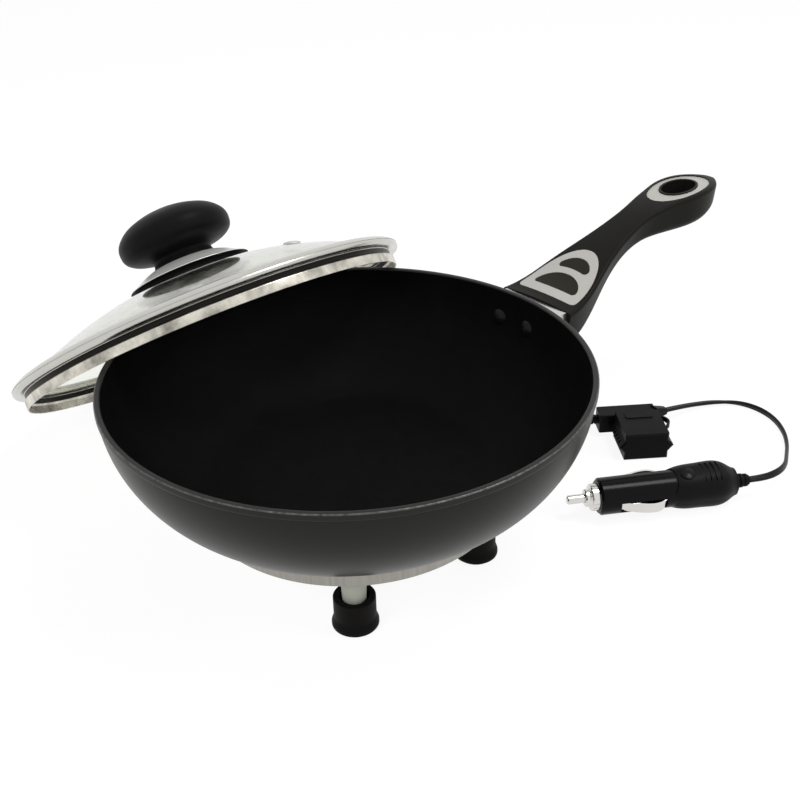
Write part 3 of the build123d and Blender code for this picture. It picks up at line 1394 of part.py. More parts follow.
def main():
    """Build every node and write it."""
    nodes = {}
    nodes["pan_bowl"] = make_bowl()
    nodes["base_band"] = make_base_band()
    nodes["bottom_plate"] = make_bottom_plate()
    nodes["mica_upper"] = make_mica(UNDERSIDE)
    nodes["heating_ribbon"] = make_ribbon()
    nodes["mica_lower"] = make_mica(UNDERSIDE - MICA_SHEET - RIBBON_THICKNESS)
    nodes["insulation_pad"] = make_pad()
    nodes["thermal_cutout"] = make_cutout()
    for index, (foot, spacer) in enumerate(zip(at_feet(make_foot()), at_feet(make_spacer()))):
        nodes[f"rubber_foot_{index + 1}"] = foot
        nodes[f"foot_spacer_{index + 1}"] = spacer
    nodes["foot_screws"] = Compound(children=at_feet(make_foot_screw()))
    nodes["foot_nuts"] = Compound(children=at_feet(make_nut()))
    nodes["handle_bracket"] = make_bracket()
    nodes["bracket_rivets"] = make_rivets()
    grip, front_trim, windows, end_trim = make_handle()
    nodes["handle_grip"] = grip
    nodes["handle_front_trim"] = front_trim
    nodes["handle_windows"] = windows
    nodes["handle_end_trim"] = end_trim
    nodes["handle_screw"] = make_handle_screw()
    lid = lid_frame()
    nodes["lid_glass"] = lid * make_glass()
    nodes["lid_band"] = lid * make_lid_band()
    nodes["knob_plate"] = lid * make_knob_plate()
    nodes["knob_gasket"] = lid * make_gasket()
    nodes["knob"] = lid * make_knob()
    nodes["knob_screw"] = lid * make_knob_screw()
    nodes["knob_washer"] = lid * make_washer()
    nodes["steam_vent"] = lid * make_vent()
    nodes["lead_gland"] = make_gland()
    nodes["heater_lead"] = cord_tube("heater_lead", LEAD_ROUTE)
    nodes["fuse_holder_body"] = make_holder_body()
    nodes["fuse_holder_cap"] = make_holder_cap()
    nodes["fuse_cap_tether"] = make_tether()
    nodes["blade_fuse"] = make_fuse()
    nodes["fuse_terminals"] = make_terminals()
    nodes["power_cord"] = cord_tube("power_cord", power_points())
    upper, lower = make_plug_shells()
    nodes["plug_shell_upper"] = upper
    nodes["plug_shell_lower"] = lower
    nodes["plug_screw"] = make_plug_screw()
    nodes["plug_strain_relief"] = make_relief()
    nodes["plug_tip"] = make_tip()
    nodes["plug_ring_nut"] = make_ring_nut()
    nodes["plug_fuse"] = make_plug_fuse()
    nodes["plug_spring"] = make_plug_spring()
    nodes["plug_contact_left"] = make_contact(1)
    nodes["plug_contact_right"] = make_contact(-1)
    nodes["plug_lens"] = make_lens()
    for node, shape in nodes.items():
        save(node, shape)
    print(len(nodes), "nodes")


main()
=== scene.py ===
"""Looks of a 12 V frying pan with a loose glass lid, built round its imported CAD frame.

Metres. Origin on the table under the pan's axis, +X along the handle, +Z up.
"""

from __future__ import annotations

import logging
import math
from dataclasses import dataclass, field
from enum import Enum, IntEnum
from typing import Callable, Iterable, Sequence

import bmesh
import bpy
from mathutils import Matrix, Vector


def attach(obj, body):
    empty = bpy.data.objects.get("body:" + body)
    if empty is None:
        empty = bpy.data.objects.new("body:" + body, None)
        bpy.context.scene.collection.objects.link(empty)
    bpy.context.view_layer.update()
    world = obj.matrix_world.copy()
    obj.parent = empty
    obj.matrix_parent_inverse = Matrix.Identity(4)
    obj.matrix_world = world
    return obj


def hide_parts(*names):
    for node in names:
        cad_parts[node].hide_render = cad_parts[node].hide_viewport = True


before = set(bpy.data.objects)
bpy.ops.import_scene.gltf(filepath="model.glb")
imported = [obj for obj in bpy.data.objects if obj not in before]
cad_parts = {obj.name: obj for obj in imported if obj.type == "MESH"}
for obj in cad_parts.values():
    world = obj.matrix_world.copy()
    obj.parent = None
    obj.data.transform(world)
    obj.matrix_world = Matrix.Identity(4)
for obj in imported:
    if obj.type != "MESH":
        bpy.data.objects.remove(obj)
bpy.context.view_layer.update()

LOG = logging.getLogger("frying_pan")
MM = 0.001
WELD_DISTANCE = 0.002 * MM
WHITE = (1.0, 1.0, 1.0, 1.0)
Colour = tuple[float, float, float]
Point2 = tuple[float, float]
Point3 = tuple[float, float, float]
# A point of an outline, with the length that its rounding takes on both sides of it.
Corner = tuple[float, float, float]


# ---------------------------------------------------------------- workshop

def clear_selection() -> None:
    """Leave edit mode and deselect everything."""
    if bpy.context.object and bpy.context.object.mode != "OBJECT":
        bpy.ops.object.mode_set(mode="OBJECT")
    bpy.ops.object.select_all(action="DESELECT")


def pick(obj: bpy.types.Object) -> None:
    """Select one object alone and make it active.

    Args:
        obj: The object.
    """
    clear_selection()
    obj.select_set(True)
    bpy.context.view_layer.objects.active = obj


def bake_place(obj: bpy.types.Object, place: Matrix) -> bpy.types.Object:
    """Put an object at a place and move that place into its mesh.

    Args:
        obj: The object, still at the origin.
        place: Its matrix in the row frame.

    Returns:
        The same object, at the origin, unturned and unscaled.
    """
    pick(obj)
    obj.matrix_world = place
    bpy.context.view_layer.update()
    bpy.ops.object.transform_apply(location=True, rotation=True, scale=True)
    return obj


def smooth(obj: bpy.types.Object, degrees: float = 35.0) -> bpy.types.Object:
    """Shade an object smooth except over sharp edges.

    Args:
        obj: The object.
        degrees: Angle past which an edge stays sharp.

    Returns:
        The same object.
    """
    pick(obj)
    bpy.ops.object.shade_smooth_by_angle(angle=math.radians(degrees))
    return obj


def softened(corners: Iterable[Corner], steps: int = 5) -> list[Point2]:
    """Round the corners of an outline.

    Args:
        corners: Points with the length that each corner's rounding takes.
        steps: Points on each rounding.

    Returns:
        The outline's points.
    """
    corners = list(corners)
    points: list[Point2] = []
    for index, (x, z, reach) in enumerate(corners):
        if not reach or index in (0, len(corners) - 1):
            points.append((x, z))
            continue
        here = Vector((x, z))
        before = here + (Vector(corners[index - 1][:2]) - here).normalized() * reach
        after = here + (Vector(corners[index + 1][:2]) - here).normalized() * reach
        for step in range(steps + 1):
            t = step / steps
            spot = before * (1 - t) ** 2 + here * 2 * t * (1 - t) + after * t ** 2
            points.append((spot.x, spot.y))
    return points


def arc(centre: Point2, radius: float, start: float, end: float, steps: int) -> list[Point2]:
    """Points on an arc, both ends included.

    Args:
        centre: Centre of the arc.
        radius: Its radius.
        start: Angle of the first point, in degrees.
        end: Angle of the last point, in degrees.
        steps: Stretches between the points.

    Returns:
        The points in order.
    """
    angles = [math.radians(start + (end - start) * step / steps) for step in range(steps + 1)]
    return [(centre[0] + radius * math.cos(a), centre[1] + radius * math.sin(a)) for a in angles]


def traced(name: str, outline: Sequence[Point2]) -> bpy.types.Object:
    """Draw an outline in the XZ plane, vertex by vertex, and stay in edit mode.

    Args:
        name: Name of the new object.
        outline: Its points, in millimetres.

    Returns:
        The object, a line of edges.
    """
    clear_selection()
    bpy.ops.mesh.primitive_plane_add(size=MM)
    obj = bpy.context.object
    obj.name = obj.data.name = name
    bpy.ops.object.mode_set(mode="EDIT")
    bpy.ops.mesh.merge(type="CENTER")
    bpy.ops.transform.translate(value=(outline[0][0] * MM, 0, outline[0][1] * MM))
    for (x0, z0), (x1, z1) in zip(outline, outline[1:]):
        step = ((x1 - x0) * MM, 0, (z1 - z0) * MM)
        bpy.ops.mesh.extrude_vertices_move(TRANSFORM_OT_translate={"value": step})
    return obj


def turned(
    name: str,
    outline: Sequence[Point2],
    place: Matrix | None = None,
    steps: int = 96,
    ring: bool = False,
) -> bpy.types.Object:
    """Turn an outline round Z, as on a lathe.

    Args:
        name: Name of the new piece.
        outline: Half section in millimetres, radius and height.
        place: Where its own origin and axis go, in the row frame.
        steps: Faces round the axis.
        ring: Whether the outline closes on itself clear of the axis.

    Returns:
        The closed piece, with its normals outward.
    """
    closed = [*outline, outline[0]] if ring else list(outline)
    obj = traced(name, closed)
    bpy.ops.mesh.select_all(action="SELECT")
    bpy.ops.mesh.spin(steps=steps, angle=math.tau, center=(0, 0, 0), axis=(0, 0, 1))
    bpy.ops.mesh.select_all(action="SELECT")
    bpy.ops.mesh.remove_doubles(threshold=WELD_DISTANCE)
    bpy.ops.mesh.normals_make_consistent(inside=False)
    bpy.ops.object.mode_set(mode="OBJECT")
    if place is not None:
        bake_place(obj, place)
    return smooth(obj)


# ---------------------------------------------------------------- finishes

# Sharpness of an outer edge from which it wears, and at which it is worn most.
WORN_POINTINESS = (0.53, 0.62)
# Values between which a noise mostly stays.
NOISE_RANGE = (0.25, 0.75)
# How much finer the smudges are than the mottling.
SMUDGE_SCALE = 1.7
LEAST_ROUGHNESS = 0.02
# Length over which a piece goes from glossy to matt.
MATT_BLEND = 0.5 * MM


class Texture(Enum):
    """What a finish's fine relief follows."""

    GRAIN = "grain"
    RINGS = "rings"
    BRUSHED = "brushed"
    UPRIGHT = "upright"
    PLAIN = "plain"


def new_group(name: str, inputs: dict[str, object], outputs: dict[str, str]) -> bpy.types.NodeTree:
    """Make an empty shader node group.

    Args:
        name: Name of the group.
        inputs: Socket names with their default values.
        outputs: Socket names with their socket types.

    Returns:
        The group, with its input and output nodes in place.
    """
    group = bpy.data.node_groups.new(name, "ShaderNodeTree")
    kinds = {float: "NodeSocketFloat", tuple: "NodeSocketColor", type(None): "NodeSocketVector"}
    for label, value in inputs.items():
        socket = group.interface.new_socket(label, in_out="INPUT", socket_type=kinds[type(value)])
        if value is not None:
            socket.default_value = value
    for label, kind in outputs.items():
        group.interface.new_socket(label, in_out="OUTPUT", socket_type=kind)
    group.nodes.new("NodeGroupInput").name = "in"
    group.nodes.new("NodeGroupOutput").name = "out"
    return group


def node(tree: bpy.types.NodeTree, kind: str, **values: object) -> bpy.types.Node:
    """Add a node and set what it holds.

    Args:
        tree: Where the node goes.
        kind: Its type, without "ShaderNode".
        **values: Its properties, and its inputs: s_Some_Name by name, i7 by number.

    Returns:
        The node.
    """
    made = tree.nodes.new("ShaderNode" + kind)
    for label, value in values.items():
        if label.startswith("s_"):
            made.inputs[label[2:].replace("_", " ")].default_value = value
        elif label.startswith("i"):
            made.inputs[int(label[1:])].default_value = value
        else:
            setattr(made, label, value)
    return made


def mottle_group() -> bpy.types.NodeTree:
    """Slow variation of a colour, as of a coating laid down unevenly.

    Returns:
        The group.
    """
    group = new_group(
        "soft_mottle",
        {"Vector": None, "Color": WHITE, "Scale": 30.0, "Amount": 0.1},
        {"Color": "NodeSocketColor"},
    )
    link = group.links.new
    source, sink = group.nodes["in"], group.nodes["out"]
    noise = node(group, "TexNoise", s_Detail=5.0, s_Roughness=0.6)
    link(source.outputs["Vector"], noise.inputs["Vector"])
    link(source.outputs["Scale"], noise.inputs["Scale"])
    spread = node(group, "Math", operation="MULTIPLY_ADD", i2=1.0)
    centred = node(group, "Math", operation="SUBTRACT", i1=0.5)
    link(noise.outputs["Fac"], centred.inputs[0])
    link(centred.outputs[0], spread.inputs[0])
    link(source.outputs["Amount"], spread.inputs[1])
    mixed = node(group, "VectorMath", operation="SCALE")
    link(source.outputs["Color"], mixed.inputs[0])
    link(spread.outputs[0], mixed.inputs["Scale"])
    link(mixed.outputs[0], sink.inputs["Color"])
    return group


def relief_group() -> bpy.types.NodeTree:
    """Height of a fine grain: a coarse and a fine noise together.

    Returns:
        The group.
    """
    group = new_group(
        "fine_relief", {"Vector": None, "Scale": 900.0}, {"Height": "NodeSocketFloat"}
    )
    link = group.links.new
    source, sink = group.nodes["in"], group.nodes["out"]
    fine = node(group, "TexNoise", s_Detail=3.0, s_Roughness=0.7)
    cells = node(group, "TexVoronoi")
    total = node(group, "Math", operation="ADD")
    for texture in (fine, cells):
        link(source.outputs["Vector"], texture.inputs["Vector"])
        link(source.outputs["Scale"], texture.inputs["Scale"])
    link(fine.outputs["Fac"], total.inputs[0])
    link(cells.outputs["Distance"], total.inputs[1])
    link(total.outputs[0], sink.inputs["Height"])
    return group


def rings_group() -> bpy.types.NodeTree:
    """Turning marks: fine uneven rings about the Z axis of the coordinates.

    Returns:
        The group.
    """
    group = new_group(
        "turning_marks", {"Vector": None, "Scale": 1500.0}, {"Height": "NodeSocketFloat"}
    )
    link = group.links.new
    source, sink = group.nodes["in"], group.nodes["out"]
    flat = node(group, "VectorMath", operation="MULTIPLY", i1=(1.0, 1.0, 0.0))
    radius = node(group, "VectorMath", operation="LENGTH")
    split = node(group, "SeparateXYZ")
    line = node(group, "CombineXYZ")
    noise = node(group, "TexNoise", s_Detail=4.0, s_Roughness=0.75)
    link(source.outputs["Vector"], flat.inputs[0])
    link(flat.outputs[0], radius.inputs[0])
    link(source.outputs["Vector"], split.inputs[0])
    link(radius.outputs["Value"], line.inputs["X"])
    link(split.outputs["Z"], line.inputs["Y"])
    link(line.outputs[0], noise.inputs["Vector"])
    link(source.outputs["Scale"], noise.inputs["Scale"])
    link(noise.outputs["Fac"], sink.inputs["Height"])
    return group


def streaks_group(name: str, stretch_by: Point3) -> bpy.types.NodeTree:
    """Fine streaks along one axis of the coordinates.

    Args:
        name: Name of the group.
        stretch_by: Scale of each axis, small along the streaks.

    Returns:
        The group.
    """
    group = new_group(name, {"Vector": None, "Scale": 1500.0}, {"Height": "NodeSocketFloat"})
    link = group.links.new
    source, sink = group.nodes["in"], group.nodes["out"]
    stretch = node(group, "VectorMath", operation="MULTIPLY", i1=stretch_by)
    noise = node(group, "TexNoise", s_Detail=3.0, s_Roughness=0.7)
    link(source.outputs["Vector"], stretch.inputs[0])
    link(stretch.outputs[0], noise.inputs["Vector"])
    link(source.outputs["Scale"], noise.inputs["Scale"])
    link(noise.outputs["Fac"], sink.inputs["Height"])
    return group


def brushed_group() -> bpy.types.NodeTree:
    """Brushing along the X axis of the coordinates."""
    return streaks_group("brushed_streaks", (0.02, 1.0, 1.0))


def upright_group() -> bpy.types.NodeTree:
    """Fine upright ribs and scratches, along the Z axis of the coordinates."""
    return streaks_group("upright_streaks", (1.0, 1.0, 0.04))


def wear_group() -> bpy.types.NodeTree:
    """A mask of outer edges that handling has worn, broken up by noise.

    Returns:
        The group.
    """
    group = new_group(
        "edge_wear", {"Vector": None, "Scale": 200.0, "Amount": 0.5}, {"Mask": "NodeSocketFloat"}
    )
    link = group.links.new
    source, sink = group.nodes["in"], group.nodes["out"]
    shape = node(group, "NewGeometry")
    noise = node(group, "TexNoise", s_Detail=4.0)
    edge = node(group, "MapRange", i1=WORN_POINTINESS[0], i2=WORN_POINTINESS[1])
    broken = node(group, "Math", operation="MULTIPLY")
    amount = node(group, "Math", operation="MULTIPLY", use_clamp=True)
    link(source.outputs["Vector"], noise.inputs["Vector"])
    link(source.outputs["Scale"], noise.inputs["Scale"])
    link(shape.outputs["Pointiness"], edge.inputs[0])
    link(edge.outputs[0], broken.inputs[0])
    link(noise.outputs["Fac"], broken.inputs[1])
    link(broken.outputs[0], amount.inputs[0])
    link(source.outputs["Amount"], amount.inputs[1])
    link(amount.outputs[0], sink.inputs["Mask"])
    return group


RELIEF_BUILDERS: dict[Texture, Callable[[], bpy.types.NodeTree]] = {
    Texture.GRAIN: relief_group,
    Texture.RINGS: rings_group,
    Texture.BRUSHED: brushed_group,
    Texture.UPRIGHT: upright_group,
}
GROUPS: dict[str, bpy.types.NodeTree] = {}


def shared(builder: Callable[[], bpy.types.NodeTree]) -> bpy.types.NodeTree:
    """A shader group, built the first time it is asked for.

    Args:
        builder: What builds it.

    Returns:
        The group, one and the same for every material.
    """
    if builder.__name__ not in GROUPS:
        GROUPS[builder.__name__] = builder()
    return GROUPS[builder.__name__]


@dataclass(frozen=True)
class Finish:
    """One surface finish, made into a procedural material.

    The texture gives the fine relief, with its scale, its height in metres and its strength.
    Mottling varies the colour, smudges vary the roughness, and wear shows on outer edges.
    From matt_from on, in metres along the Z axis of the place, the piece is matt.
    """

    name: str
    colour: Colour
    roughness: float
    metallic: float = 0.0
    texture: Texture = Texture.GRAIN
    scale: float = 900.0
    relief: float = 0.0002
    strength: float = 0.25
    mottle: float = 0.12
    mottle_scale: float = 35.0
    stretch: Point3 = (1.0, 1.0, 1.0)
    smudge: float = 0.08
    wear: float = 0.0
    wear_colour: Colour = (0.5, 0.5, 0.5)
    specular: float = 0.5
    transmission: float = 0.0
    ior: float = 1.5
    matt_from: float = 0.0
    matt_roughness: float = 0.5
    place: Matrix | None = field(default=None, compare=False, hash=False)

    def material(self) -> bpy.types.Material:
        """Build the material.

        Returns:
            The material, with colour, roughness and relief from its nodes.
        """
        made = bpy.data.materials.new(self.name)
        made.use_nodes = True
        tree = made.node_tree
        shader = tree.nodes["Principled BSDF"]
        for label, value in (
            ("Metallic", self.metallic),
            ("Specular IOR Level", self.specular),
            ("Transmission Weight", self.transmission),
            ("IOR", self.ior),
        ):
            shader.inputs[label].default_value = value
        spot = self.coordinates(tree)
        self.paint(tree, shader, spot)
        self.shape_surface(tree, shader, spot)
        return made

    def coordinates(self, tree: bpy.types.NodeTree) -> bpy.types.NodeSocket:
        """Object coordinates, turned to the piece's own axis where it has one.

        Args:
            tree: The material's nodes.

        Returns:
            The coordinates.
        """
        source = node(tree, "TexCoord")
        if self.place is None:
            return source.outputs["Object"]
        turn = node(
            tree, "Mapping", vector_type="TEXTURE", s_Location=self.place.to_translation(),
            s_Rotation=self.place.to_euler(),
        )
        tree.links.new(source.outputs["Object"], turn.inputs["Vector"])
        return turn.outputs[0]

    def paint(
        self, tree: bpy.types.NodeTree, shader: bpy.types.Node, spot: bpy.types.NodeSocket
    ) -> None:
        """Colour and roughness, with mottling, smudges and worn edges.

        Args:
            tree: The material's nodes.
            shader: Its shader.
            spot: The coordinates.
        """
        link = tree.links.new
        mottle = node(
            tree, "Group", node_tree=shared(mottle_group), s_Color=(*self.colour, 1.0),
            s_Scale=self.mottle_scale, s_Amount=2 * self.mottle,
        )
        drawn = node(tree, "Mapping", s_Scale=self.stretch)
        link(spot, drawn.inputs["Vector"])
        link(drawn.outputs[0], mottle.inputs["Vector"])
        colour = mottle.outputs["Color"]
        if self.wear:
            colour = self.worn(tree, spot, colour)
        link(colour, shader.inputs["Base Color"])
        smudge = node(tree, "TexNoise", s_Scale=self.mottle_scale * SMUDGE_SCALE, s_Detail=6.0)
        rough = node(
            tree, "MapRange", s_From_Min=NOISE_RANGE[0], s_From_Max=NOISE_RANGE[1],
            s_To_Min=max(LEAST_ROUGHNESS, self.roughness - self.smudge / 2),
            s_To_Max=min(1.0, self.roughness + self.smudge / 2),
        )
        link(spot, smudge.inputs["Vector"])
        link(smudge.outputs["Fac"], rough.inputs["Value"])
        link(self.dulled(tree, spot, rough.outputs[0]), shader.inputs["Roughness"])

    def worn(
        self, tree: bpy.types.NodeTree, spot: bpy.types.NodeSocket, colour: bpy.types.NodeSocket
    ) -> bpy.types.NodeSocket:
        """Colour with its outer edges rubbed paler.

        Args:
            tree: The material's nodes.
            spot: The coordinates.
            colour: The colour before that.

        Returns:
            The colour over the whole piece.
        """
        wear = node(tree, "Group", node_tree=shared(wear_group), s_Amount=self.wear)
        mix = node(tree, "Mix", data_type="RGBA", i7=(*self.wear_colour, 1.0))
        tree.links.new(spot, wear.inputs["Vector"])
        tree.links.new(wear.outputs["Mask"], mix.inputs["Factor"])
        tree.links.new(colour, mix.inputs["A"])
        return mix.outputs[2]

    def dulled(
        self, tree: bpy.types.NodeTree, spot: bpy.types.NodeSocket, rough: bpy.types.NodeSocket
    ) -> bpy.types.NodeSocket:
        """Roughness that turns matt past a distance along the piece's own Z axis.

        Args:
            tree: The material's nodes.
            spot: The coordinates.
            rough: The roughness before that distance.

        Returns:
            The roughness over the whole piece.
        """
        if not self.matt_from:
            return rough
        split = node(tree, "SeparateXYZ")
        past = node(
            tree, "MapRange", s_From_Min=self.matt_from, s_From_Max=self.matt_from + MATT_BLEND
        )
        mix = node(tree, "Mix", i3=self.matt_roughness)
        tree.links.new(spot, split.inputs[0])
        tree.links.new(split.outputs["Z"], past.inputs["Value"])
        tree.links.new(past.outputs[0], mix.inputs[0])
        tree.links.new(rough, mix.inputs[2])
        return mix.outputs[0]

    def shape_surface(
        self, tree: bpy.types.NodeTree, shader: bpy.types.Node, spot: bpy.types.NodeSocket
    ) -> None:
        """Fine relief through a bump node.

        Args:
            tree: The material's nodes.
            shader: Its shader.
            spot: The coordinates.
        """
        if self.texture is Texture.PLAIN:
            return
        builder = RELIEF_BUILDERS[self.texture]
        relief = node(tree, "Group", node_tree=shared(builder), s_Scale=self.scale)
        bump = node(tree, "Bump", s_Distance=self.relief, s_Strength=self.strength)
        tree.links.new(spot, relief.inputs["Vector"])
        tree.links.new(relief.outputs["Height"], bump.inputs["Height"])
        tree.links.new(bump.outputs["Normal"], shader.inputs["Normal"])


def dress(obj: bpy.types.Object, *materials: bpy.types.Material) -> bpy.types.Object:
    """Give an object materials, one slot each.

    Args:
        obj: The object.
        *materials: Its materials in the order of their slots.

    Returns:
        The same object.
    """
    obj.data.materials.clear()
    for material in materials:
        obj.data.materials.append(material)
    return obj


def dress_node(name: str, material: bpy.types.Material) -> None:
    """Give a carried-over CAD node a material in each of its slots.

    Args:
        name: Name of the node.
        material: Its material.
    """
    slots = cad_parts[name].material_slots
    for slot in slots:
        slot.material = material
    if not slots:
        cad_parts[name].data.materials.append(material)


def paint_faces(obj: bpy.types.Object, choose: Callable[[Vector, Vector], IntEnum]) -> None:
    """Give each face the material slot that a rule picks from its centre and normal."""
    for face in obj.data.polygons:
        face.material_index = int(choose(face.center, face.normal))


# ---------------------------------------------------------------- where lid and plug lie

SKIRT_RADIUS = 116.8
SKIRT_HEIGHT = 9.0


@dataclass(frozen=True)
class LidLean:
    """How the loose lid leans on the pan: angles in degrees, lengths in millimetres.

    Azimuth and distance lead from the pan's axis to the lid's centre, and the lid slopes down
    at its tilt in the direction of downhill.
    """

    tilt: float = 36.3
    downhill: float = 86.6
    azimuth: float = 85.0
    distance: float = 146.946
    table_gap: float = 0.15

    def place(self) -> Matrix:
        """The lid's frame: origin under the roll, X downhill, Z along its axis.

        Returns:
            The frame as a matrix, in metres.
        """
        tilt, downhill, azimuth = (
            math.radians(angle) for angle in (self.tilt, self.downhill, self.azimuth)
        )
        height = SKIRT_HEIGHT * math.cos(tilt) + SKIRT_RADIUS * math.sin(tilt) + self.table_gap
        level = (math.cos(downhill), math.sin(downhill))
        along = Vector((math.cos(tilt) * level[0], math.cos(tilt) * level[1], -math.sin(tilt)))
        up = Vector((math.sin(tilt) * level[0], math.sin(tilt) * level[1], math.cos(tilt)))
        turn = Matrix((along, up.cross(along), up)).transposed().to_4x4()
        centre = (self.distance * math.cos(azimuth), self.distance * math.sin(azimuth), height)
        return Matrix.Translation(Vector(centre) * MM) @ turn


@dataclass(frozen=True)
class PlugLie:
    """How the plug lies on the table: its tip in millimetres, angles in degrees."""

    tip: Point3 = (100.9, -62.3, 12.6)
    azimuth: float = -32.4
    roll: float = 18.0

    def place(self) -> Matrix:
        """The plug's frame: origin at its tip, Z along its axis towards the cord, Y up.

        Returns:
            The frame as a matrix, in metres.
        """
        azimuth = math.radians(self.azimuth)
        roll = math.radians(self.roll)
        along = Vector((math.cos(azimuth), math.sin(azimuth), 0))
        across = Vector((-math.sin(azimuth), math.cos(azimuth), 0))
        up = Vector((0, 0, 1)) * math.cos(roll) - across * math.sin(roll)
        turn = Matrix((up.cross(along), up, along)).transposed().to_4x4()
        return Matrix.Translation(Vector(self.tip) * MM) @ turn


LID = LidLean().place()
TO_LID = LID.inverted()
LID_UP = LID.to_3x3() @ Vector((0, 0, 1))
PLUG = PlugLie().place()


# ---------------------------------------------------------------- pan bowl

class BowlPart(IntEnum):
    """Part of the bowl that a face belongs to, with the number of its material slot."""

    OUTSIDE = 0
    INSIDE = 1
    LIP = 2
    WORN_EDGE = 3


@dataclass
class PanBowl:
    """Pressed bowl: dark lacquer outside, black non-stick inside, a narrow rolled lip.

    Sizes in millimetres. Depths go down from the rim.
    """

    rim_height: float = 110.0
    rim_radius: float = 125.0
    lip_overhang: float = 0.6
    lip_height: float = 3.4
    lip_start: float = 0.9
    lip_rise: float = 0.1
    lip_roundings: tuple[float, float, float] = (0.8, 1.0, 0.5)
    wall: float = 2.6
    curve: float = 68.0
    curve_depth: float = 60.0
    depth: float = 66.0
    cooking_depth: float = 62.0
    cooking_rounding: float = 8.0
    floor_turn_height: float = 4.5
    floor_turn_width: float = 9.0
    floor_slope: float = 0.5
    worn_line: float = 0.7
    inner_steps: int = 40
    outer_steps: int = 44
    faces_round: int = 192
    outside: Finish = Finish(
        "pan_lacquer", (0.0180, 0.0190, 0.0165), 0.34, metallic=0.20, scale=2600.0,
        relief=0.00004, strength=0.3, mottle=0.10, mottle_scale=12.0, specular=0.09,
    )
    inside: Finish = Finish(
        "pan_non_stick", (0.0030, 0.0028, 0.0030), 0.50, scale=1500.0, relief=0.00008,
        strength=0.35, mottle=0.35, mottle_scale=90.0, specular=0.035,
    )
    lip: Finish = Finish(
        "pan_lip_lacquer", (0.016, 0.0165, 0.0155), 0.38, metallic=0.2, scale=1800.0,
        relief=0.00003, strength=0.2, mottle=0.15, specular=0.15,
    )
    worn: Finish = Finish(
        "pan_lip_worn", (0.080, 0.080, 0.076), 0.42, metallic=0.7, scale=2200.0,
        relief=0.00006, strength=0.6, mottle=1.6, mottle_scale=420.0,
    )

    def centre(self) -> float:
        """Distance of the wall's centre of curvature from the pan's axis."""
        return self.rim_radius - self.lip_overhang - self.curve

    def inner_edge(self) -> float:
        """Radius at which the inner wall meets the lip."""
        return self.centre() + math.sqrt((self.curve - self.wall) ** 2 - self.lip_start ** 2)

    def wall_points(self, curve: float, start: float, end: float, steps: int) -> list[Point2]:
        """Points on a surface parallel to the wall.

        Args:
            curve: Its radius of curvature.
            start: Depth of the first point under the rim.
            end: Depth of the last point.
            steps: Stretches between the points.

        Returns:
            Radius and height of each point, in millimetres.
        """
        angles = [math.asin(depth / curve) for depth in (start, end)]
        turn = [angles[0] + (angles[1] - angles[0]) * step / steps for step in range(steps + 1)]
        return [
            (self.centre() + curve * math.cos(a), self.rim_height - curve * math.sin(a))
            for a in turn
        ]

    def section(self) -> list[Point2]:
        """Half section of the bowl: cooking floor, inner wall, lip, outer wall and underside.

        Returns:
            Radius and height of each point, in millimetres.
        """
        floor = self.rim_height - self.cooking_depth
        bottom = self.rim_height - self.depth
        reach = math.sqrt(self.curve ** 2 - self.curve_depth ** 2)
        foot = self.centre() + reach - self.curve_depth / reach * (self.depth - self.curve_depth)
        turn_depth = self.cooking_depth - self.floor_turn_height
        lip_depth = self.lip_height + self.lip_overhang
        inner = self.wall_points(
            self.curve - self.wall, turn_depth, self.lip_start, self.inner_steps
        )
        outer = self.wall_points(self.curve, lip_depth, self.curve_depth, self.outer_steps)
        turn = (inner[0][0] - self.floor_turn_width, floor, self.cooking_rounding)
        cooking = softened([(0, floor, 0), turn, (*inner[0], 0)], 8)[:-1]
        first, second, third = self.lip_roundings
        lip = softened([
            (*inner[-1], 0),
            (inner[-1][0] + self.lip_rise, self.rim_height, first),
            (self.rim_radius, self.rim_height, second),
            (self.rim_radius, self.rim_height - self.lip_height, third),
            (*outer[0], 0),
        ])[1:-1]
        return [*cooking, *inner, *lip, *outer, (foot, bottom), (0, bottom)]

    def part_at(self, centre: Vector, normal: Vector) -> BowlPart:
        """Part of the bowl that a face belongs to.

        Args:
            centre: Middle of the face.
            normal: Its outward normal.

        Returns:
            The part.
        """
        radius = math.hypot(centre.x, centre.y)
        worn_bottom = (self.rim_height - self.worn_line) * MM
        if centre.z > worn_bottom and radius > (self.rim_radius - self.worn_line) * MM:
            return BowlPart.WORN_EDGE
        lip_bottom = (self.rim_height - self.lip_height) * MM
        if centre.z > lip_bottom and radius > self.inner_edge() * MM:
            return BowlPart.LIP
        inward = normal.x * centre.x + normal.y * centre.y < 0
        inside = inward or normal.z > self.floor_slope
        return BowlPart.INSIDE if inside else BowlPart.OUTSIDE

    def build(self) -> list[str]:
        """Turn the bowl and dress its surfaces.

        Returns:
            Name of the piece.
        """
        bowl = turned("pan_bowl_shell", self.section(), steps=self.faces_round)
        finishes = (self.outside, self.inside, self.lip, self.worn)
        dress(bowl, *(finish.material() for finish in finishes))
        paint_faces(bowl, self.part_at)
        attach(bowl, "pan")
        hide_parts("pan_bowl")
        return [bowl.name]


# ---------------------------------------------------------------- heater base

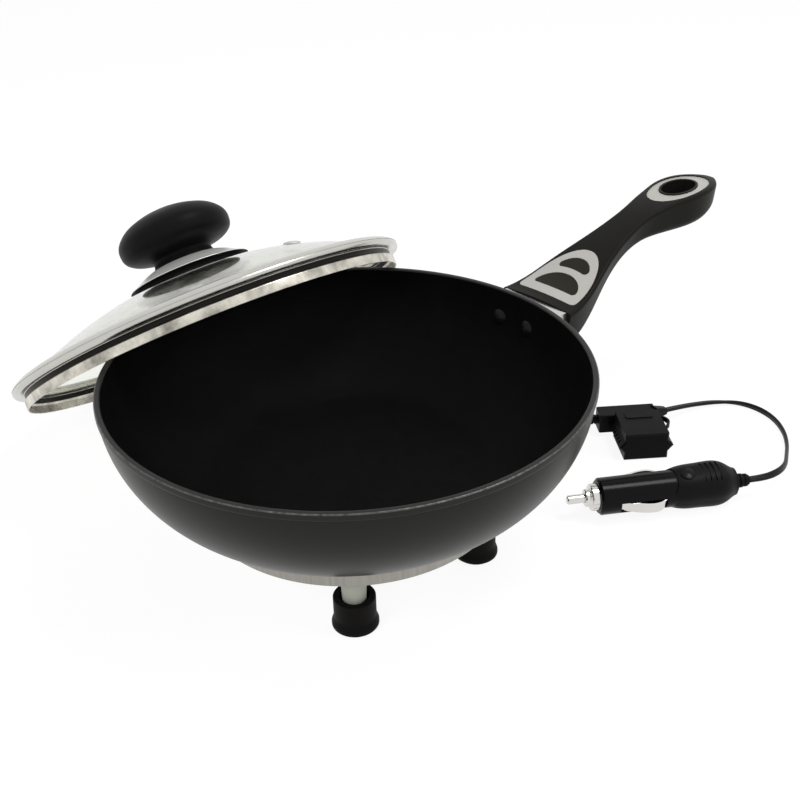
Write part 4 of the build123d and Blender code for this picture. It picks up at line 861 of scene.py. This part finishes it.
@dataclass
class HeaterBase:
    """Bright band under the bowl, in millimetres, and the plate that closes the base."""

    radius: float = 80.5
    top: float = 44.0
    height: float = 7.8
    sheet: float = 0.8
    flange: float = 8.5
    shoulder_rounding: float = 0.6
    hem_rounding: float = 0.25
    bend_rounding: float = 0.3
    faces_round: int = 192
    band: Finish = Finish(
        "base_band_satin", (0.315, 0.305, 0.275), 0.38, metallic=0.9, texture=Texture.UPRIGHT,
        scale=900.0, relief=0.00012, strength=0.6, mottle=0.30, mottle_scale=520.0,
        stretch=(1.0, 1.0, 0.05),
    )
    plate: Finish = Finish(
        "base_plate_steel", (0.42, 0.42, 0.41), 0.42, metallic=0.95, texture=Texture.RINGS,
        scale=900.0, relief=0.00006, strength=0.35, mottle=0.12,
    )

    def build(self) -> list[str]:
        """Turn the band and dress the plate.

        Returns:
            Names of both pieces.
        """
        low = self.top - self.height
        under = self.top - self.sheet
        inner = self.radius - self.sheet
        mouth = self.radius - self.flange
        outline = [
            (mouth, self.top, 0), (self.radius, self.top, self.shoulder_rounding),
            (self.radius, low, self.hem_rounding), (inner, low, self.hem_rounding),
            (inner, under, self.bend_rounding), (mouth, under, 0),
        ]
        band = turned(
            "base_band_ribbed", softened(outline, 4), steps=self.faces_round, ring=True
        )
        dress(band, self.band.material())
        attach(band, "pan")
        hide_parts("base_band")
        dress_node("bottom_plate", self.plate.material())
        return [band.name, "bottom_plate"]


# ---------------------------------------------------------------- lid

class BandPart(IntEnum):
    """Part of the lid's band that a face belongs to, with the number of its material slot."""

    ROLL = 0
    SKIRT = 1
    # The neck's slot holds the painted shade of the groove under the roll.
    NECK = 2


class DishPart(IntEnum):
    """Part of the dished plate that a face belongs to, with the number of its material slot."""

    PLATE = 0
    # The black collar, and painted shade under the plate's rim.
    COLLAR_AND_SHADE = 1


@dataclass
class GlassLid:
    """Loose lid: domed glass in a rolled steel band, a dished plate and a mushroom knob.

    Sizes in millimetres. Heights go up from the origin of the lid's own frame, and a corner of
    the knob's section has its radius, its height over the dished plate and its rounding.
    """

    roll_radius: float = 121.65
    roll_height: float = 5.6
    neck_radius: float = 115.5
    neck_height: float = 2.9
    skirt_radius: float = SKIRT_RADIUS
    skirt_height: float = SKIRT_HEIGHT
    roll_cover: float = 4.5
    roll_bottom: float = -0.3
    sheet: float = 0.7
    seal: float = 0.15
    glass_edge: float = 115.0
    glass_edge_height: float = 3.6
    edge_break: float = 0.5
    bore_radius: float = 2.8
    apex: float = 33.0
    thickness: float = 3.0
    dish_radius: float = 37.3
    dish_rise: float = 7.8
    dish_bore: float = 2.7
    dish_sheet: float = 0.9
    collar_inset: float = 3.4
    collar_and_shade_slope: float = 0.1
    glass_steps: int = 44
    glass_faces: int = 160
    band_faces: int = 192
    knob_faces: int = 128
    knob_section: tuple[Corner, ...] = (
        (0, 0, 0), (19.6, 0, 0.8), (17.2, 5.4, 3.0), (30.6, 8.8, 3.6), (34.2, 12.6, 2.4),
        (35.0, 20.4, 4.2), (28.6, 28.0, 5.4), (14.0, 33.8, 8.5), (0, 34.6, 0),
    )
    glass: Finish = Finish(
        "lid_glass_clear", (0.87, 0.88, 0.82), 0.04, transmission=1.0, ior=1.5,
        texture=Texture.PLAIN, mottle=0.01, mottle_scale=6.0, smudge=0.0,
    )
    roll: Finish = Finish(
        "lid_roll_polished", (0.55, 0.545, 0.51), 0.26, metallic=1.0, texture=Texture.RINGS,
        scale=1200.0, relief=0.00003, strength=0.2, mottle=0.10, smudge=0.08, place=LID,
    )
    skirt: Finish = Finish(
        "lid_skirt_satin", (0.53, 0.505, 0.445), 0.30, metallic=1.0, texture=Texture.RINGS,
        scale=900.0, relief=0.00005, strength=0.3, mottle=1.30, mottle_scale=80.0, smudge=0.20,
        place=LID,
    )
    # Painted shade: the neck under the roll is near-black steel, standing in for the shadow and
    # dark reflection in the groove.
    neck_shade: Finish = Finish(
        "lid_neck_painted_shade", (0.016, 0.015, 0.013), 0.36, metallic=0.5, texture=Texture.RINGS,
        scale=1200.0, relief=0.00003, strength=0.2, mottle=0.15, specular=0.1, place=LID,
    )
    dish: Finish = Finish(
        "knob_dish_spun", (0.74, 0.735, 0.71), 0.42, metallic=0.62, texture=Texture.RINGS,
        scale=1600.0, relief=0.00006, strength=0.35, mottle=0.08, place=LID,
    )
    # Near black for every face of the dish that doesn't look up: the collar's own black, and
    # painted shade on the steel plate's underside.
    collar_and_shade: Finish = Finish(
        "knob_dish_collar_and_shade", (0.0040, 0.0042, 0.0038), 0.50, scale=1400.0, relief=0.00005,
        mottle=0.2, specular=0.05, place=LID,
    )
    black: Finish = Finish(
        "knob_phenolic", (0.0050, 0.0050, 0.0052), 0.44, scale=1800.0, relief=0.00005,
        strength=0.3, mottle=0.2, wear=0.05, wear_colour=(0.03, 0.03, 0.03), specular=0.06,
        place=LID,
    )

    def curve(self) -> float:
        """Radius of the glass's upper face."""
        rise = self.apex - self.glass_edge_height
        return (self.glass_edge ** 2 + rise ** 2) / (2 * rise)

    def glass_height(self, radius: float, drop: float = 0.0) -> float:
        """Height of the glass's upper face over the roll, or of one parallel to it."""
        return self.apex - self.curve() + math.sqrt((self.curve() - drop) ** 2 - radius ** 2)

    def build(self) -> list[str]:
        """Build and dress every piece of the lid.

        Returns:
            Names of the pieces.
        """
        pieces = (
            (self.make_glass(), "lid_glass", "lid_glass"),
            (self.make_band(), "lid_band", "lid_steel"),
            (self.make_dish(), "knob_plate", "knob_steel"),
            (self.make_knob(), "knob", "knob_black"),
        )
        for piece, node_name, slot in pieces:
            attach(piece, "lid")
            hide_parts(node_name)
        return [piece.name for piece, _node_name, _slot in pieces]

    def make_glass(self) -> bpy.types.Object:
        """Domed disc with a ground edge and a bore for the knob's screw.

        Returns:
            The dressed piece.
        """
        span = self.glass_edge - self.edge_break - self.bore_radius
        shares = [step / self.glass_steps for step in range(self.glass_steps + 1)]
        radii = [self.bore_radius + span * share for share in shares]
        upper = [(radius, self.glass_height(radius)) for radius in radii]
        lower = [(radius, self.glass_height(radius, self.thickness)) for radius in reversed(radii)]
        edge = [
            (self.glass_edge, self.glass_height(self.glass_edge) - self.edge_break),
            (self.glass_edge, self.glass_height(self.glass_edge, self.thickness) + self.edge_break),
        ]
        outline = [*upper, *edge, *lower]
        glass = turned("lid_glass_dome", outline, LID, steps=self.glass_faces, ring=True)
        return dress(glass, self.glass.material())

    def make_band(self) -> bpy.types.Object:
        """Steel band: a broad rolled edge over the glass and a skirt below it.

        Returns:
            The dressed piece.
        """
        grip = self.glass_edge - self.roll_cover
        upper = self.glass_height(grip, -self.seal)
        under = self.glass_height(self.glass_edge, self.thickness) - self.seal
        inner = self.skirt_radius - self.sheet
        neck = self.neck_radius - self.sheet
        pocket = self.glass_edge + self.seal
        roll = softened([
            (grip, upper, 0),
            (grip + 0.1, upper + 0.75, 0.5),
            (self.roll_radius - 3.0, self.roll_height + 1.2, 4.5),
            (self.roll_radius + 0.9, 2.2, 2.6),
            (self.roll_radius - 1.4, -0.2, 1.0),
            (self.neck_radius, 0.25, 0.35),
            (self.neck_radius, -self.neck_height, 0.4),
            (self.skirt_radius, -self.neck_height - self.sheet, 0.5),
            (self.skirt_radius, -self.skirt_height, 0.3),
            (inner, -self.skirt_height, 0.3),
            (inner, -self.neck_height - 1.6 * self.sheet, 0.4),
            (neck, -self.neck_height - 0.4 * self.sheet, 0.3),
            (neck, under, 0.1),
            (pocket, under, 0),
            (pocket, self.glass_height(self.glass_edge, -self.seal), 0),
        ], 7)
        band = turned("lid_band_rolled", roll, LID, steps=self.band_faces, ring=True)
        dress(band, self.roll.material(), self.skirt.material(), self.neck_shade.material())
        paint_faces(band, self.band_part)
        return band

    def band_part(self, centre: Vector, _normal: Vector) -> BandPart:
        """Part of the band that a face belongs to.

        Args:
            centre: Middle of the face.
            _normal: Its normal, which makes no difference here.

        Returns:
            The part.
        """
        height = (TO_LID @ centre).z
        if height > self.roll_bottom * MM:
            return BandPart.ROLL
        neck_bottom = (-self.neck_height - 0.35 * self.sheet) * MM
        return BandPart.NECK if height > neck_bottom else BandPart.SKIRT

    def make_dish(self) -> bpy.types.Object:
        """Dished plate under the knob, on a black collar that sits back from its edge. Every face
        that doesn't look up is near black: the collar itself, and painted shade under the plate's
        rim.

        Returns:
            The dressed piece.
        """
        seat = self.glass_height(0)
        top = seat + self.dish_rise
        edge = seat + self.dish_sheet
        rim = self.dish_radius
        collar = rim - self.collar_inset
        outline = [
            (self.dish_bore, top, 0), (22.5, top, 1.5), (29.0, top - 2.6, 3.0),
            (rim - 2.6, edge + 0.7, 1.5), (rim, edge, 0.35), (rim, edge - self.dish_sheet, 0.35),
            (rim - 1.6, edge - 0.5, 0.3), (collar, edge - 0.5, 0.2),
        ]
        outline += [
            (radius, self.glass_height(radius, -self.seal), 0)
            for radius in (collar, 12.0, self.dish_bore)
        ]
        dish = turned("knob_dish", softened(outline), LID, steps=self.knob_faces, ring=True)
        dress(dish, self.dish.material(), self.collar_and_shade.material())
        paint_faces(dish, self.dish_part)
        return dish

    def dish_part(self, _centre: Vector, normal: Vector) -> DishPart:
        """The black collar and the painted shade under the plate's rim take every face that doesn't
        look up.
        """
        return DishPart.COLLAR_AND_SHADE if normal.dot(LID_UP) < self.collar_and_shade_slope else DishPart.PLATE

    def make_knob(self) -> bpy.types.Object:
        """Mushroom knob: a waisted stem under a broad, gently domed cap.

        Returns:
            The dressed piece.
        """
        foot = self.glass_height(0) + self.dish_rise
        outline = [(radius, foot + rise, turn) for radius, rise, turn in self.knob_section]
        knob = turned("knob_mushroom", softened(outline, 8), LID, steps=self.knob_faces)
        return dress(knob, self.black.material())


# ---------------------------------------------------------------- cords

@dataclass
class TwinLead:
    """A flat two-core cord that follows a route, in millimetres, and may twist along it.

    A stop of its twist has a share of the cord's length and an angle in degrees.
    """

    name: str
    node_name: str
    route: Sequence[Point3]
    twist: Sequence[Point2]
    width: float = 4.0
    thickness: float = 2.3
    core_sweep: float = 125.0
    core_steps: int = 12
    line_steps: int = 10

    def line(self) -> list[Vector]:
        """Points along the smooth line of the route.

        Returns:
            The points, in metres.
        """
        curve = bpy.data.curves.new(self.name + "_line", "CURVE")
        curve.dimensions = "3D"
        spline = curve.splines.new("NURBS")
        spline.points.add(len(self.route) - 1)
        for point, place in zip(spline.points, self.route):
            point.co = (*(value * MM for value in place), 1.0)
        spline.order_u = 3
        spline.use_endpoint_u = True
        spline.resolution_u = self.line_steps
        holder = bpy.data.objects.new(self.name + "_line", curve)
        mesh = bpy.data.meshes.new_from_object(holder)
        points = [vertex.co.copy() for vertex in mesh.vertices]
        bpy.data.objects.remove(holder)
        bpy.data.curves.remove(curve)
        bpy.data.meshes.remove(mesh)
        return points

    def section(self) -> list[Point2]:
        """Cross section: two round cores with a shallow groove between them.

        Returns:
            Its points, in metres.
        """
        core = self.thickness / 2
        offset = self.width / 2 - core
        sweep = self.core_sweep
        right = arc((offset, 0), core, -sweep, sweep, self.core_steps)
        left = arc((-offset, 0), core, 180 - sweep, 180 + sweep, self.core_steps)
        return [(x * MM, y * MM) for x, y in (*right, *left)]

    def lean(self, share: float) -> float:
        """Twist of the cord, eased between its stated stops.

        Args:
            share: Where on the cord, as a share of its length.

        Returns:
            The twist, in radians.
        """
        for (start, first), (end, last) in zip(self.twist, self.twist[1:]):
            if share <= end:
                t = (share - start) / (end - start)
                return math.radians(first + (last - first) * t * t * (3 - 2 * t))
        return math.radians(self.twist[-1][1])

    def ring(self, points: Sequence[Vector], index: int, share: float) -> list[Vector]:
        """The section round one point of the line.

        Args:
            points: The line's points.
            index: Which of them.
            share: Where on the cord it is, as a share of its length.

        Returns:
            The section's points in their place.
        """
        ahead = points[min(index + 1, len(points) - 1)]
        behind = points[max(index - 1, 0)]
        along = (ahead - behind).normalized()
        side = along.cross(Vector((0, 0, 1))).normalized()
        up = side.cross(along)
        turn = self.lean(share)
        across = side * math.cos(turn) + up * math.sin(turn)
        over = across.cross(along) * -1
        return [points[index] + across * x + over * y for x, y in self.section()]

    def build(self, material: bpy.types.Material) -> tuple[bpy.types.Object, list[Vector]]:
        """Sweep the section along the line.

        Args:
            material: The cord's material.

        Returns:
            The cord and the points that it follows.
        """
        points = self.line()
        travelled = [0.0]
        for before, after in zip(points, points[1:]):
            travelled.append(travelled[-1] + (after - before).length)
        shape = bmesh.new()
        rings = [
            [shape.verts.new(spot) for spot in self.ring(points, index, length / travelled[-1])]
            for index, length in enumerate(travelled)
        ]
        for first, second in zip(rings, rings[1:]):
            for index in range(len(first)):
                follow = (index + 1) % len(first)
                shape.faces.new((first[index], first[follow], second[follow], second[index]))
        shape.faces.new(list(reversed(rings[0])))
        shape.faces.new(rings[-1])
        bmesh.ops.recalc_face_normals(shape, faces=shape.faces)
        mesh = bpy.data.meshes.new(self.name)
        shape.to_mesh(mesh)
        shape.free()
        cord = bpy.data.objects.new(self.name, mesh)
        bpy.context.collection.objects.link(cord)
        dress(cord, material)
        smooth(cord, degrees=50.0)
        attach(cord, "pan")
        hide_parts(self.node_name)
        return cord, points


POWER_ROUTE = (
    (222.0, -36.0, 9.4), (236.0, -37.4, 6.8), (250.5, -39.8, 4.0), (264.8, -45.6, 2.4),
    (274.8, -56.0, 2.2), (277.4, -69.5, 2.2), (273.8, -83.4, 2.2), (264.4, -96.4, 2.2),
    (252.0, -106.4, 2.8), (238.5, -114.2, 5.4), (223.3, -122.8, 9.6), (210.2, -126.2, 12.2),
    (198.42, -124.189, 12.6), (190.399, -119.098, 12.6),
)
LEAD_ROUTE = (
    (93.0, 0.0, 40.0), (103.5, 0.0, 40.0), (115.0, 1.6, 32.0), (124.5, 4.6, 20.4),
    (134.0, 8.0, 10.2), (146.0, 10.8, 3.8), (159.0, 10.2, 2.5), (170.8, 4.6, 4.0),
    (182.3, -9.6, 7.6),
)


@dataclass
class Cords:
    """The heater's lead and the power cord, with the twist of each and their jacket."""

    lead_twist: Sequence[Point2] = ((0.0, 0.0), (1.0, 0.0))
    power_twist: Sequence[Point2] = (
        (0.0, 0.0), (0.18, 8.0), (0.42, 80.0), (0.8, 84.0), (1.0, 20.0),
    )
    jacket: Finish = Finish(
        "cord_jacket", (0.0065, 0.0065, 0.0065), 0.36, scale=1500.0, relief=0.00004,
        strength=0.3, mottle=0.2, specular=0.14,
    )

    def build(self) -> list[str]:
        """Build both cords.

        Returns:
            Their names.
        """
        material = self.jacket.material()
        lead = TwinLead("heater_lead_twin", "heater_lead", LEAD_ROUTE, self.lead_twist)
        cord, path = lead.build(material)
        power = TwinLead("power_cord_twin", "power_cord", POWER_ROUTE, self.power_twist)
        cord, path = power.build(material)
        return [lead.name, power.name]


# ---------------------------------------------------------------- plain dressing of kept nodes

@dataclass
class KeptNodes:
    """CAD pieces whose shape stays, each with its finish."""

    rubber: Finish = Finish(
        "foot_rubber", (0.0048, 0.0042, 0.0040), 0.55, scale=1400.0, mottle=0.25, specular=0.06
    )
    pale: Finish = Finish("spacer_moulding", (0.42, 0.43, 0.37), 0.45, scale=1200.0, mottle=0.10)
    zinc: Finish = Finish(
        "screw_zinc", (0.55, 0.55, 0.54), 0.32, metallic=1.0, texture=Texture.BRUSHED,
        relief=0.00003,
    )
    bright: Finish = Finish(
        "bracket_bright", (0.58, 0.58, 0.565), 0.28, metallic=1.0, texture=Texture.BRUSHED,
        relief=0.00004, mottle=0.14,
    )
    grip: Finish = Finish(
        "grip_moulding", (0.0078, 0.0075, 0.0062), 0.42, scale=1700.0, relief=0.00006,
        mottle=0.2, wear=0.1, wear_colour=(0.03, 0.03, 0.028), specular=0.06,
    )
    grey: Finish = Finish("grip_inlay_grey", (0.41, 0.40, 0.37), 0.34, scale=1500.0, mottle=0.07)
    olive: Finish = Finish(
        "window_tint", (0.0140, 0.0138, 0.0085), 0.30, scale=900.0, mottle=0.2, specular=0.10
    )
    satin: Finish = Finish(
        "vent_satin", (0.50, 0.50, 0.48), 0.46, metallic=0.7, relief=0.00003, mottle=0.1
    )
    black: Finish = Finish(
        "rivet_coating", (0.0042, 0.0040, 0.0042), 0.26, scale=1800.0, mottle=0.2,
        specular=0.14, wear=0.1, wear_colour=(0.03, 0.03, 0.03),
    )
    holder: Finish = Finish(
        "holder_moulding", (0.0058, 0.0056, 0.0056), 0.40, scale=1500.0, specular=0.06
    )
    plug: Finish = Finish(
        "plug_moulding", (0.0038, 0.0038, 0.0042), 0.18, scale=1300.0, relief=0.00002,
        specular=0.09, smudge=0.06, matt_from=0.0605, matt_roughness=0.46, place=PLUG,
    )
    nickel: Finish = Finish(
        "plug_nickel", (0.66, 0.65, 0.62), 0.16, metallic=1.0, texture=Texture.RINGS,
        relief=0.00003, place=PLUG,
    )
    mica: Finish = Finish("mica_sheet", (0.50, 0.44, 0.32), 0.35, scale=500.0, mottle=0.3)
    pad: Finish = Finish("fibre_pad", (0.80, 0.79, 0.75), 0.9, scale=500.0, relief=0.0004)
    brass: Finish = Finish("terminal_brass", (0.62, 0.50, 0.26), 0.25, metallic=1.0)
    fuse: Finish = Finish(
        "fuse_tint", (0.10, 0.28, 0.62), 0.15, transmission=0.6, texture=Texture.PLAIN
    )
    lens: Finish = Finish(
        "lens_smoked", (0.0048, 0.0030, 0.0030), 0.30, texture=Texture.PLAIN, specular=0.12
    )
    tube: Finish = Finish(
        "fuse_tube_glass", (0.9, 0.93, 0.92), 0.05, transmission=0.9, texture=Texture.PLAIN
    )
    washer: Finish = Finish("washer_silicone", (0.70, 0.68, 0.64), 0.5, scale=900.0)
    gasket: Finish = Finish(
        "gasket_rubber", (0.010, 0.010, 0.010), 0.6, scale=1400.0, specular=0.25
    )

    def underneath(self) -> list[tuple[Finish, list[str]]]:
        """Finishes of the feet, of the heater and of the fixings.

        Returns:
            Each finish with the names of its nodes.
        """
        corners = (1, 2, 3, 4)
        return [
            (self.rubber, [f"rubber_foot_{n}" for n in corners] + ["lead_gland"]),
            (self.pale, [f"foot_spacer_{n}" for n in corners]),
            (self.zinc, ["foot_screws", "foot_nuts", "handle_screw", "knob_screw", "plug_screw",
                         "plug_spring", "thermal_cutout", "heating_ribbon"]),
            (self.mica, ["mica_upper", "mica_lower"]),
            (self.pad, ["insulation_pad"]),
        ]

    def handle_and_lid(self) -> list[tuple[Finish, list[str]]]:
        """Finishes of the handle, its bracket and the lid's small parts.

        Returns:
            Each finish with the names of its nodes.
        """
        return [
            (self.bright, ["handle_bracket"]),
            (self.black, ["bracket_rivets"]),
            (self.grip, ["handle_grip"]),
            (self.grey, ["handle_front_trim", "handle_end_trim"]),
            (self.olive, ["handle_windows"]),
            (self.satin, ["steam_vent"]),
            (self.washer, ["knob_washer"]),
            (self.gasket, ["knob_gasket"]),
        ]

    def plug_and_holder(self) -> list[tuple[Finish, list[str]]]:
        """Finishes of the plug and the fuse holder, with what is in them.

        Returns:
            Each finish with the names of its nodes.
        """
        return [
            (self.holder, ["fuse_holder_body", "fuse_holder_cap", "fuse_cap_tether",
                           "plug_strain_relief"]),
            (self.plug, ["plug_shell_upper", "plug_shell_lower"]),
            (self.nickel, ["plug_tip", "plug_ring_nut", "plug_contact_left",
                           "plug_contact_right"]),
            (self.brass, ["fuse_terminals"]),
            (self.fuse, ["blade_fuse"]),
            (self.lens, ["plug_lens"]),
            (self.tube, ["plug_fuse"]),
        ]

    def build(self) -> list[str]:
        """Dress every kept node.

        Returns:
            Names of the nodes.
        """
        dressed = []
        for finish, names in self.underneath() + self.handle_and_lid() + self.plug_and_holder():
            material = finish.material()
            for name in names:
                dress_node(name, material)
            dressed += names
        return dressed


# ---------------------------------------------------------------- studio

@dataclass(frozen=True)
class Lamp:
    """A square soft lamp: place and size in metres, power in watts."""

    name: str
    place: Point3
    size: float
    power: float
    mirrored: bool = False


def seen_or_mirrored(tree: bpy.types.NodeTree) -> bpy.types.NodeSocket:
    """A switch that is 1 for camera, glossy and transmission rays and 0 for the rest.

    Args:
        tree: Where its nodes go.

    Returns:
        The switch's value.
    """
    path = node(tree, "LightPath")
    first = node(tree, "Math", operation="MAXIMUM")
    second = node(tree, "Math", operation="MAXIMUM")
    tree.links.new(path.outputs["Is Camera Ray"], first.inputs[0])
    tree.links.new(path.outputs["Is Glossy Ray"], first.inputs[1])
    tree.links.new(first.outputs[0], second.inputs[0])
    tree.links.new(path.outputs["Is Transmission Ray"], second.inputs[1])
    return second.outputs[0]


@dataclass
class Studio:
    """Pale floor, soft lamps, a white surround and the camera.

    Places in metres, angles in degrees, lens and sensor in millimetres.
    """

    camera_place: Point3 = (-0.324108, -0.414839, 0.397858)
    camera_azimuth: float = 49.174
    camera_dip: float = 30.281
    camera_roll: float = -1.505
    lens: float = 53.82
    sensor: float = 36.0
    floor_half: float = 8.0
    floor_colour: Colour = (0.86, 0.86, 0.86)
    floor_roughness: float = 0.9
    glow: float = 1.06
    glow_share: float = 0.86
    surround_dim: float = 0.36
    aim: Point3 = (0.05, 0.0, 0.08)
    lamps: tuple[Lamp, ...] = (
        Lamp("lamp_left", (-1.5, -0.3, 1.3), 0.7, 18.0),
        Lamp("lamp_right", (0.9, -1.5, 1.1), 0.6, 12.0),
        Lamp("lamp_top", (0.5, -0.48, 1.55), 0.5, 10.0, mirrored=True),
    )

    def build(self) -> list[str]:
        """Set up everything round the object.

        Returns:
            Names of the camera, the floor, the surround and the lamps.
        """
        self.make_camera()
        self.make_floor()
        self.make_lamps()
        self.make_surround()
        bpy.context.scene.view_settings.view_transform = "Standard"
        return ["camera", "studio_floor", "studio_surround", *(lamp.name for lamp in self.lamps)]

    def make_camera(self) -> None:
        """Place the camera by its azimuth, dip and roll."""
        azimuth, dip, roll = (
            math.radians(angle)
            for angle in (self.camera_azimuth, self.camera_dip, self.camera_roll)
        )
        ahead = Vector((
            math.cos(dip) * math.cos(azimuth), math.cos(dip) * math.sin(azimuth), -math.sin(dip)
        ))
        level = Vector((math.sin(azimuth), -math.cos(azimuth), 0))
        upright = level.cross(ahead)
        right = level * math.cos(roll) + upright * math.sin(roll)
        up = right.cross(ahead)
        turn = Matrix((right, up, -ahead)).transposed().to_4x4()
        data = bpy.data.cameras.new("camera")
        data.lens = self.lens
        data.sensor_width = self.sensor
        camera = bpy.data.objects.new("camera", data)
        bpy.context.collection.objects.link(camera)
        camera.matrix_world = Matrix.Translation(self.camera_place) @ turn
        bpy.context.scene.camera = camera

    def make_floor(self) -> None:
        """A pale floor that looks white and still takes the object's shadow."""
        clear_selection()
        bpy.ops.mesh.primitive_plane_add(size=2 * self.floor_half)
        floor = bpy.context.object
        floor.name = "studio_floor"
        material = bpy.data.materials.new("studio_floor_pale")
        material.use_nodes = True
        tree = material.node_tree
        shader = tree.nodes["Principled BSDF"]
        shader.inputs["Base Color"].default_value = (*self.floor_colour, 1.0)
        shader.inputs["Roughness"].default_value = self.floor_roughness
        glow = node(tree, "Emission", s_Color=WHITE, s_Strength=self.glow)
        share = node(tree, "Math", operation="MULTIPLY", i1=self.glow_share)
        mix = node(tree, "MixShader")
        link = tree.links.new
        link(seen_or_mirrored(tree), share.inputs[0])
        link(share.outputs[0], mix.inputs["Fac"])
        link(shader.outputs[0], mix.inputs[1])
        link(glow.outputs[0], mix.inputs[2])
        link(mix.outputs[0], tree.nodes["Material Output"].inputs["Surface"])
        dress(floor, material)

    def make_lamps(self) -> None:
        """Large soft lamps; only a mirrored one leaves a highlight on what is polished."""
        for lamp in self.lamps:
            data = bpy.data.lights.new(lamp.name, "AREA")
            data.shape = "SQUARE"
            data.size = lamp.size
            data.energy = lamp.power
            made = bpy.data.objects.new(lamp.name, data)
            made.visible_glossy = lamp.mirrored
            bpy.context.collection.objects.link(made)
            turn = (Vector(self.aim) - Vector(lamp.place)).to_track_quat("-Z", "Y")
            made.matrix_world = Matrix.Translation(lamp.place) @ turn.to_matrix().to_4x4()

    def make_surround(self) -> None:
        """A white world for camera, glossy and transmission rays, dimmer for the rest."""
        world = bpy.data.worlds.new("studio_surround")
        bpy.context.scene.world = world
        world.use_nodes = True
        tree = world.node_tree
        back = tree.nodes["Background"]
        back.inputs["Color"].default_value = WHITE
        level = node(tree, "MapRange", s_To_Min=self.surround_dim, s_To_Max=1.0)
        tree.links.new(seen_or_mirrored(tree), level.inputs["Value"])
        tree.links.new(level.outputs[0], back.inputs["Strength"])


def main() -> None:
    """Build every sub-assembly in order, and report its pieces."""
    logging.basicConfig(level=logging.INFO)
    for assembly in (Studio(), Cords(), PanBowl(), HeaterBase(), GlassLid(), KeptNodes()):
        for piece in assembly.build():
            LOG.info("%s: %s", type(assembly).__name__, piece)
    bpy.context.view_layer.update()


if __name__ == "__main__":
    main()
